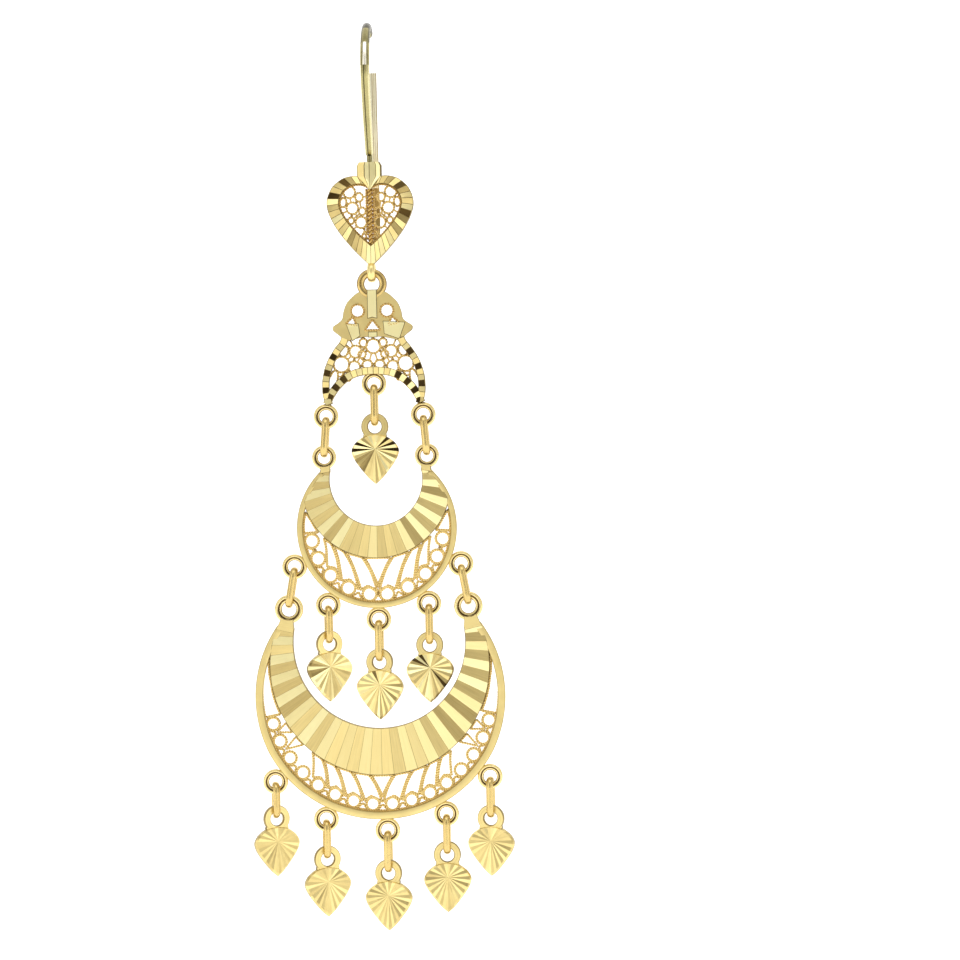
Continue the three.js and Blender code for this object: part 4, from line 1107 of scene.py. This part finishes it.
def horn_tip(form, tier, side):
    """The flat end of a horn, drawn in to the ring at its top."""
    centre = tier["rim_drop"] + tier["mouth_rise"]
    drawn = tier["rim_radius"] - tier["horn_draw"] * (tier["horn_turn"] / SIDE_TURN - 1)
    ring = np.array([tier["across"], tier["rim_drop"] + tier["rise"]])
    size = tier["ring_radius"]
    outer = [on_circle(drawn - 0.06, tier["horn_turn"] - k, tier["rim_drop"]) for k in (2, 0)]
    inner = [on_circle(tier["mouth_radius"] + 0.03, tier["horn_fan"] - k, centre) for k in (0, 3)]
    whole_turn, down = 2 * math.pi, -math.pi / 2
    arc_ends = []
    for corner, hand in ((outer[-1], -1), (inner[0], 1)):
        away = corner - ring
        leans = math.acos(min(size / float(np.linalg.norm(away)), 1.0))
        turn = math.atan2(away[1], away[0]) + hand * leans
        arc_ends.append(turn + whole_turn * round((down - turn) / whole_turn))
    first, last = arc_ends
    arc = [ring + size * np.array([math.cos(first + (last - first) * k / 10),
                                   math.sin(first + (last - first) * k / 10)]) for k in range(11)]
    if np.linalg.norm(arc[0] - outer[-1]) > np.linalg.norm(arc[-1] - outer[-1]):
        arc = arc[::-1]
    outline = outer + arc + inner
    add_plate(form, [np.array([side * p[0], p[1]]) for p in outline], [], HORN_FRONT, HORN_BACK, tone=0.6)


def crescent(tier, rim_rings, seed, calm_half, fan_gold):
    crescent_fan(tier, seed, calm_half, fan_gold)
    crescent_rim(tier)
    crescent_filigree(tier)
    rings = Form()
    top_profile = grooved_profile(tier["ring_radius"], tier["ring_wire"])
    for side in (1, -1):
        turned_ring(rings, top_ring_place(tier, side), top_profile)
    for row in rim_rings:
        turned_ring(rings, rim_ring_place(tier, row["turn"]), grooved_profile(RING_RADIUS, RING_WIRE))
    rings.piece(tier["name"] + "_rings", tier["body"], "gold_link", RING_GOLD, tier["name"])


def crescent_fan(tier, seed, calm_half, fan_gold):
    """The fluted fan, calm in its middle, with the flat ends of its two horns."""
    rng = random.Random(seed)
    rim_middle = tier["rim_radius"] - tier["rim_width"] / 2
    centre = tier["rim_drop"] + tier["mouth_rise"]
    inner, outer = [], []
    steps = tier["flutes"] * 3
    for i in range(steps + 1):
        turn = -tier["horn_fan"] + 2 * tier["horn_fan"] * i / steps
        fan = reach(turn, tier["mouth_rise"], tier["fan_rise"], tier["fan_radius"])
        rim = reach(turn, tier["mouth_rise"], 0, rim_middle)
        inner.append(on_circle(tier["mouth_radius"], turn, centre))
        outer.append(on_circle(min(fan, rim), turn, centre))
    form = Form()

    def calm(share):
        return 0.85 if abs(share - 0.5) < calm_half else 0.0

    # Flute tones paint the fan's reflections, calm in its middle
    tones = facet_reflection_tones(tier["flutes"], rng, calm, 0.18)
    fluted_band(form, outer, inner, False, tones, SOFT_CUT, FAN_BACK)
    for side in (1, -1):
        horn_tip(form, tier, side)
    form.piece(tier["name"] + "_fan", tier["body"], "gold_fluted", fan_gold, tier["name"])


def crescent_rim(tier):
    """The rim, drawn in towards its horns, with a grain of solder under each top ring."""
    form = Form()
    line = []
    steps = 120
    for i in range(steps + 1):
        turn = -tier["horn_turn"] + 2 * tier["horn_turn"] * i / steps
        radius = tier["rim_radius"] - tier["horn_draw"] * max(abs(turn) / SIDE_TURN - 1, 0)
        line.append(on_circle(radius - tier["rim_width"] / 2, turn, tier["rim_drop"]))
    rim_band(form, line, tier["rim_width"] / 2)
    for side in (1, -1):
        place = on_circle(tier["rim_radius"] - tier["solder_inward"], side * tier["solder_turn"],
                          tier["rim_drop"])
        disc = gap_shape(place, tier["solder_radius"], tier["solder_radius"], 0, 24)
        add_plate(form, disc, [], 0.3, 0.26, 0.1, 0.6)
    form.piece(tier["name"] + "_rim", tier["body"], "gold_fluted", SATIN_GOLD, tier["name"])


def crescent_filigree(tier):
    """Twisted wire round every opening between the fan and the rim, joined with grains of solder."""
    lattice = Form()
    row = tier["rim_inside"] - tier["circle_radius"] - WELD * 1.2
    circles = circle_gaps(tier, row)
    for gap in circles + petal_gaps(tier, row) + apex_gaps(tier):
        rope(lattice, lifted(offset_closed(gap, ROPE_STRAND)), strand=TIER_STRAND)
    if tier["crowded"]:
        for gap in fan_corner_gaps(tier, row):
            rope(lattice, lifted(gap))
    solder(lattice, [lifted(gap) for gap in circles], near=0.7, far=0.7)
    for gap in corner_gaps(tier, row):
        rope(lattice, lifted(gap))
    reach_turn = tier["fan_meet_turn"] - APEX_SHORT
    edge = [on_circle(tier["rim_inside"] - ROPE_STRAND, reach_turn * (k / 60 - 1), tier["rim_drop"])
            for k in range(121)]
    rope(lattice, lifted(edge, -0.12), closed=False, tone=0.6)
    lattice.piece(tier["name"] + "_filigree", tier["body"], "gold_fluted", ROPE_GOLD, tier["name"])


def circle_turns(tier):
    return [-t for t in reversed(tier["circle_turns"])] + list(tier["circle_turns"])


def circle_gaps(tier, row):
    """The row of round openings inside the rim."""
    size = tier["circle_radius"]
    return [gap_shape(on_circle(row, t, tier["rim_drop"]), size, size, t, 24) for t in circle_turns(tier)]


def corner_gaps(tier, row):
    """A small three-cornered opening between each two circles, with its base on the rim."""
    turns = circle_turns(tier)
    made = []
    for a, b in zip(turns, turns[1:]):
        middle, half = (a + b) / 2, (b - a) / 2
        base = min(half * 0.62, 0.52 / tier["rim_inside"] / DEG)
        high, low = tier["rim_inside"] - 0.1, row + 0.02
        made.append([on_circle(high, middle - base, tier["rim_drop"]),
                     on_circle(high, middle, tier["rim_drop"]),
                     on_circle(high, middle + base, tier["rim_drop"]),
                     on_circle(low, middle, tier["rim_drop"])])
    return made


def fan_corner_gaps(tier, row):
    """Small three-cornered openings between the outer circles, with their base on the fan's edge."""
    turns = tier["circle_turns"]
    joints = [(a + b) / 2 for a, b in zip(turns, turns[1:])]
    made = []
    for middle in joints[len(tier["petal_slants"]):]:
        half = (turns[-1] - turns[-2]) * 0.34
        bases = []
        for turn in (middle - half, middle, middle + half):
            fan_edge = reach(turn, 0, tier["fan_rise"], tier["fan_radius"])
            bases.append(on_circle(min(fan_edge + 0.08, row + tier["circle_radius"]), turn, tier["rim_drop"]))
        tip = on_circle(row - 0.1, middle, tier["rim_drop"])
        if np.linalg.norm(tip - bases[1]) > 0.25:
            cell = [bases[2], bases[1], bases[0], tip]
            made += [cell, mirrored(cell)]
    return made


def petal_head(tier, foot, slant, inset):
    """Where a petal's wire, moved sideways by the inset, comes up against the fan's edge."""
    up = np.array([math.sin(slant * DEG), math.cos(slant * DEG)])
    start = foot + np.array([inset, 0.0])
    from_centre = start - np.array([0.0, tier["rim_drop"] + tier["fan_rise"]])
    along = float(up @ from_centre)
    beyond = float(from_centre @ from_centre) - (tier["fan_radius"] + abs(inset)) ** 2
    return start + up * (-along - math.sqrt(along * along - beyond))


def bowed(start, end, bow):
    """Points from start to just before end along a line that bows sideways."""
    start, end = np.asarray(start, dtype=float), np.asarray(end, dtype=float)
    span = end - start
    side = np.array([-span[1], span[0]])
    return [start + span * t + side * (bow * 4 * t * (1 - t)) for t in (0.0, 0.2, 0.4, 0.6, 0.8)]


def petal_gaps(tier, row):
    """The openings between the petal wires, as on the part but with wires that bow outwards."""
    inset = LATTICE_WIRE / 2
    turns = tier["circle_turns"]
    joints = [0.0] + [(a + b) / 2 for a, b in zip(turns, turns[1:])]
    feet = [on_circle(row - tier["circle_radius"] / 2, turn, tier["rim_drop"]) for turn in joints]
    over = row - tier["circle_radius"] - LATTICE_WIRE
    slants = tier["petal_slants"]
    head = petal_head(tier, feet[0], slants[0], -inset)
    low = on_circle(over, 0, tier["rim_drop"])
    right = bowed(head, low, PETAL_BOW)
    made = [right + [low] + mirrored(right)]
    for i, slant in enumerate(slants[1:]):
        over_turn = turns[i] + PETAL_SHIFT * (joints[i + 1] - turns[i])
        near_head = petal_head(tier, feet[i], slants[i], inset)
        far_head = petal_head(tier, feet[i + 1], slant, -inset)
        near_foot, far_foot = feet[i] + np.array([inset, 0.0]), feet[i + 1] - np.array([inset, 0.0])
        cell = bowed(far_head, far_foot, PETAL_BOW) + [far_foot, on_circle(over, over_turn, tier["rim_drop"])]
        cell += bowed(near_foot, near_head, -PETAL_BOW) + [near_head]
        made += [cell, mirrored(cell)]
    return made


def apex_gaps(tier):
    """The two narrow openings that run up between the fan and the rim."""
    rim_inside = tier["rim_inside"]
    low = tier["circle_turns"][-1] + tier["circle_radius"] * 1.6 / rim_inside / DEG
    high = tier["fan_meet_turn"] - APEX_SHORT
    turns = [low + (high - low) * i / 8 for i in range(9)]
    outer = [on_circle(rim_inside - WELD, t, tier["rim_drop"]) for t in turns]
    inner = []
    for t in turns[-2::-1]:
        fan_edge = reach(t, 0, tier["fan_rise"], tier["fan_radius"])
        inner.append(on_circle(min(fan_edge + WELD, rim_inside - 2 * WELD), t, tier["rim_drop"]))
    return [outer + inner, mirrored(outer + inner)]


def link(name, body, upper, upper_ring, lower, lower_ring, twist):
    """A long link through an upper and a lower ring, with the same gap in both."""
    top = upper[1] - upper_ring["radius"] + upper_ring["wire"] + LINK_WIRE + LINK_GAP
    bottom = lower[1] + lower_ring["radius"] - lower_ring["wire"] - LINK_WIRE - LINK_GAP
    bend = LINK_HALF_WIDTH - LINK_WIRE
    stretch = max((top - bottom) / 2 - bend, 0)
    slant = math.atan2(upper[0] - lower[0], top - bottom)
    spin = twist * DEG
    centre = np.array([(upper[0] + lower[0]) / 2, 0, (top + bottom) / 2])
    points = []
    for turn in turns_round(48, 0.5):
        y, z = math.cos(turn) * bend, math.sin(turn) * bend
        z += math.copysign(stretch, z)
        x, y = -y * math.sin(spin), y * math.cos(spin)
        points.append(centre + np.array([x * math.cos(slant) + z * math.sin(slant), y,
                                         -x * math.sin(slant) + z * math.cos(slant)]))
    form = Form()
    tube(form, evenly(points, 0.16, True), LINK_WIRE, 14, True, 0.62, LINK_FLAT)
    form.piece(name + "_wire", body, "gold_link", RING_GOLD, name)


def drop(name, body, eye, row, seed):
    """A star-cut heart with its eyelet, hung from the eyelet's centre."""
    rng = random.Random(seed)
    dark_reflections, brown_reflections = row.get("dark_reflections", ()), row.get("brown_reflections", ())
    # Rays take painted reflection tones: the black and brown listed ones, the rest picked at random from the
    # drop's tones
    shades_used = DROP_REFLECTION_TONES if dark_reflections or brown_reflections else SOFT_DROP_REFLECTION_TONES
    tones = [BLACK_REFLECTION_TONE if k in dark_reflections else BROWN_REFLECTION_TONE if k in brown_reflections else rng.choice(shades_used)
             for k in range(DROP_FACETS)]
    per = 2
    top = -DROP_BELOW_EYE
    outline = whole_outline(half_curve(DROP_OUTLINE, DROP_HALF, DROP_TALL, top, DROP_FACETS * per // 2))
    star = np.array([0.0, top - DROP_TALL * 0.3])
    count = len(outline)
    # Share of the outline, then the depths of ridges and valleys there; the last is the flat back
    levels = [(0.5, 0.42, 0.38), (0.93, 0.44, 0.36), (1.0, 0.2, 0.2), (1.0, -0.16, -0.16)]
    corners = [(star[0], -0.36, star[1])]
    for share, ridge, valley in levels:
        for i, p in enumerate(outline):
            near = abs(((i / per) % 2) - 1)
            place = star + (p - star) * share
            corners.append((place[0], -(valley + (ridge - valley) * near), place[1]))
    corners.append((star[0], 0.26, star[1]))
    last = 1 + (len(levels) - 1) * count
    faces, shades = [], []
    for i in range(count):
        after = (i + 1) % count
        tone = tones[(i // per) % DROP_FACETS]
        faces.append([0, 1 + i, 1 + after])
        for start in range(1, last, count):
            over = start + count
            faces.append([start + i, over + i, over + after, start + after])
        faces.append([last + i, len(corners) - 1, last + after])
        # Each ray's faces take its painted reflection tone; the side is painted darker as a dark reflection
        shades += [tone, tone, tone, 0.3, 0.6]
    eyelet = Form()
    turned_ring(eyelet, (0, 0), flat_profile(DROP_EYE_RADIUS, DROP_EYE_WIRE, 0.5, 0.26, 0.28), 40)
    arc = [np.array([math.cos(t * DEG), math.sin(t * DEG)]) * DROP_EYE_RADIUS for t in range(-8, -173, -12)]
    shoulder = [np.array([x, top - deep]) for x, deep in ((-1.2, 0.22), (-0.7, 0.4), (0.7, 0.4), (1.2, 0.22))]
    add_plate(eyelet, arc + shoulder, [], 0.26, 0.22)

    c, s = math.cos(row["twist"] * DEG), math.sin(row["twist"] * DEG)

    def hung(x, y, z):
        return eye[0] + x * c - y * s, x * s + y * c, eye[1] + z

    form = Form()
    form.add([hung(*corner) for corner in corners], faces, shades, smooth=False)
    form.add([hung(*corner) for corner in eyelet.corners], eyelet.faces, eyelet.tones, smooth=False)
    form.piece(name + "_heart", body, "gold_star_cut", CUT_GOLD, name)


RIM_RING = dict(radius=RING_RADIUS, wire=RING_WIRE)
EYE_RING = dict(radius=DROP_EYE_RADIUS, wire=DROP_EYE_WIRE)


def hanging_drop(suffix, body, place, row, seed):
    eye = eye_under(place, row)
    drop("drop_" + suffix, body, eye, row, seed)
    link("link_" + suffix, body, place, RIM_RING, eye, EYE_RING, row["twist"] / 2)


def hanging_drops(prefix, tier, rows, seed):
    carried = [row for row in rows if row["carries"] == "drop"]
    for i, row in enumerate(carried):
        place = rim_ring_place(tier, row["turn"])
        hanging_drop(f"{prefix}_{i + 1}", tier["body"], place, row, seed + i)


def side_links(prefix, upper, tier):
    """The pair of links that a crescent hangs by."""
    top_ring = dict(radius=tier["ring_radius"], wire=tier["ring_wire"])
    for side, word in ((1, "right"), (-1, "left")):
        place = (side * abs(upper[0]), upper[1])
        link(f"link_{prefix}_{word}", tier["body"], place, RIM_RING, top_ring_place(tier, side), top_ring, 0)


# Studio

# The camera, in millimetres and degrees
CAMERA_DISTANCE = 300.0
PHOTO_WIDTH_AT_OBJECT = 96.0
CAMERA_ACROSS = 10.4
CAMERA_HEIGHT = -45.07
CAMERA_AZIMUTH = 1.9
CAMERA_ROLL = 1.2
SENSOR = 36.0

# The room's light is dimmer straight behind the camera, by the direction's share along Y
WORLD_FRONT = 0.5
WORLD_SIDES = 0.62
WORLD_FRONT_EDGE = -0.985
WORLD_SIDE_EDGE = -0.9

# Lights as (name, place in metres, size in metres, watts)
LIGHTS_AIM = (0, 0, -0.045)
SOFTBOXES = [
    ("left", (-0.34, -0.34, 0.02), (0.26, 0.5), 0.34),
    ("right", (0.34, -0.34, 0.02), (0.26, 0.5), 0.26),
    ("top", (0.0, -0.2, 0.42), (0.5, 0.3), 0.5),
]

# The backdrop, in metres: a floor that sweeps up into a wall
BACKDROP_HALF = 3.0
FLOOR = -0.115
FLOOR_FRONT = -1.2
WALL = 0.55
WALL_TOP = 3.0
SWEEP_RADIUS = 0.25


def camera():
    data = bpy.data.cameras.new("camera")
    data.sensor_width = SENSOR
    data.lens = SENSOR * CAMERA_DISTANCE / PHOTO_WIDTH_AT_OBJECT
    data.clip_start = 0.01
    data.clip_end = 20
    obj = placed_object("camera", data)
    turn = CAMERA_AZIMUTH * DEG
    right = Vector((math.cos(turn), math.sin(turn), 0))
    ahead = Vector((-math.sin(turn), math.cos(turn), 0))
    target = right * CAMERA_ACROSS + Vector((0, 0, CAMERA_HEIGHT))
    obj.location = (target - ahead * CAMERA_DISTANCE) * MM
    obj.rotation_euler = ahead.to_track_quat("-Z", "Y").to_euler()
    obj.rotation_euler.rotate_axis("Z", -CAMERA_ROLL * DEG)
    bpy.context.scene.camera = obj


def softbox(name, place, size, power):
    data = bpy.data.lights.new(name, "AREA")
    data.shape = "RECTANGLE"
    data.size, data.size_y = size
    data.energy = power
    obj = placed_object(name, data)
    obj.location = place
    obj.rotation_euler = (Vector(LIGHTS_AIM) - Vector(place)).to_track_quat("-Z", "Y").to_euler()


def room():
    world = bpy.data.worlds.new("world")
    world.use_nodes = True
    tree = world.node_tree
    direction = node(tree, "TexCoord").outputs["Generated"]
    ahead = node(tree, "MapRange", {
        "Value": node(tree, "SeparateXYZ", {"Vector": direction}).outputs["Y"],
        "From Min": WORLD_FRONT_EDGE, "From Max": WORLD_SIDE_EDGE,
        "To Min": WORLD_FRONT, "To Max": WORLD_SIDES,
    }, interpolation_type="SMOOTHSTEP")
    background = tree.nodes["Background"].inputs
    background["Color"].default_value = (1.0, 0.99, 0.97, 1)
    tree.links.new(ahead.outputs["Result"], background["Strength"])
    bpy.context.scene.world = world
    bpy.context.scene.view_settings.view_transform = "Standard"


def backdrop():
    paper = bpy.data.materials.new("paper")
    paper.use_nodes = True
    inputs = paper.node_tree.nodes["Principled BSDF"].inputs
    inputs["Base Color"].default_value = (0.93, 0.93, 0.93, 1)
    inputs["Roughness"].default_value = 0.9
    inputs["Emission Color"].default_value = (1, 1, 1, 1)
    inputs["Emission Strength"].default_value = 0.5
    profile = [(FLOOR_FRONT, FLOOR), (WALL - SWEEP_RADIUS, FLOOR)]
    for degrees in range(15, 91, 15):
        profile.append((WALL - SWEEP_RADIUS + math.sin(degrees * DEG) * SWEEP_RADIUS,
                        FLOOR + SWEEP_RADIUS - math.cos(degrees * DEG) * SWEEP_RADIUS))
    profile.append((WALL, WALL_TOP))
    corners = [(x, y, z) for y, z in profile for x in (-BACKDROP_HALF, BACKDROP_HALF)]
    faces = [[2 * i, 2 * i + 1, 2 * i + 3, 2 * i + 2] for i in range(len(profile) - 1)]
    mesh = bpy.data.meshes.new("backdrop")
    mesh.from_pydata(corners, [], faces)
    mesh.materials.append(paper)
    for polygon in mesh.polygons:
        polygon.use_smooth = True
    placed_object("backdrop", mesh)


camera()
room()
for row in SOFTBOXES:
    softbox(*row)
backdrop()
ear_wire()
heart()
crown()
crescent(SECOND, SECOND_RIM_RINGS, 21, 0.12, SECOND_FAN_GOLD)
crescent(THIRD, THIRD_RIM_RINGS, 34, 0.14, THIRD_FAN_GOLD)
side_links("two", CROWN_LOW_RING, SECOND)
side_links("three", SECOND_OUTER_RING, THIRD)
hanging_drop("crown", CROWN_BODY, CROWN_DROP_RING, CROWN_DROP, 50)
hanging_drops("two", SECOND, SECOND_RIM_RINGS, 60)
hanging_drops("three", THIRD, THIRD_RIM_RINGS, 70)
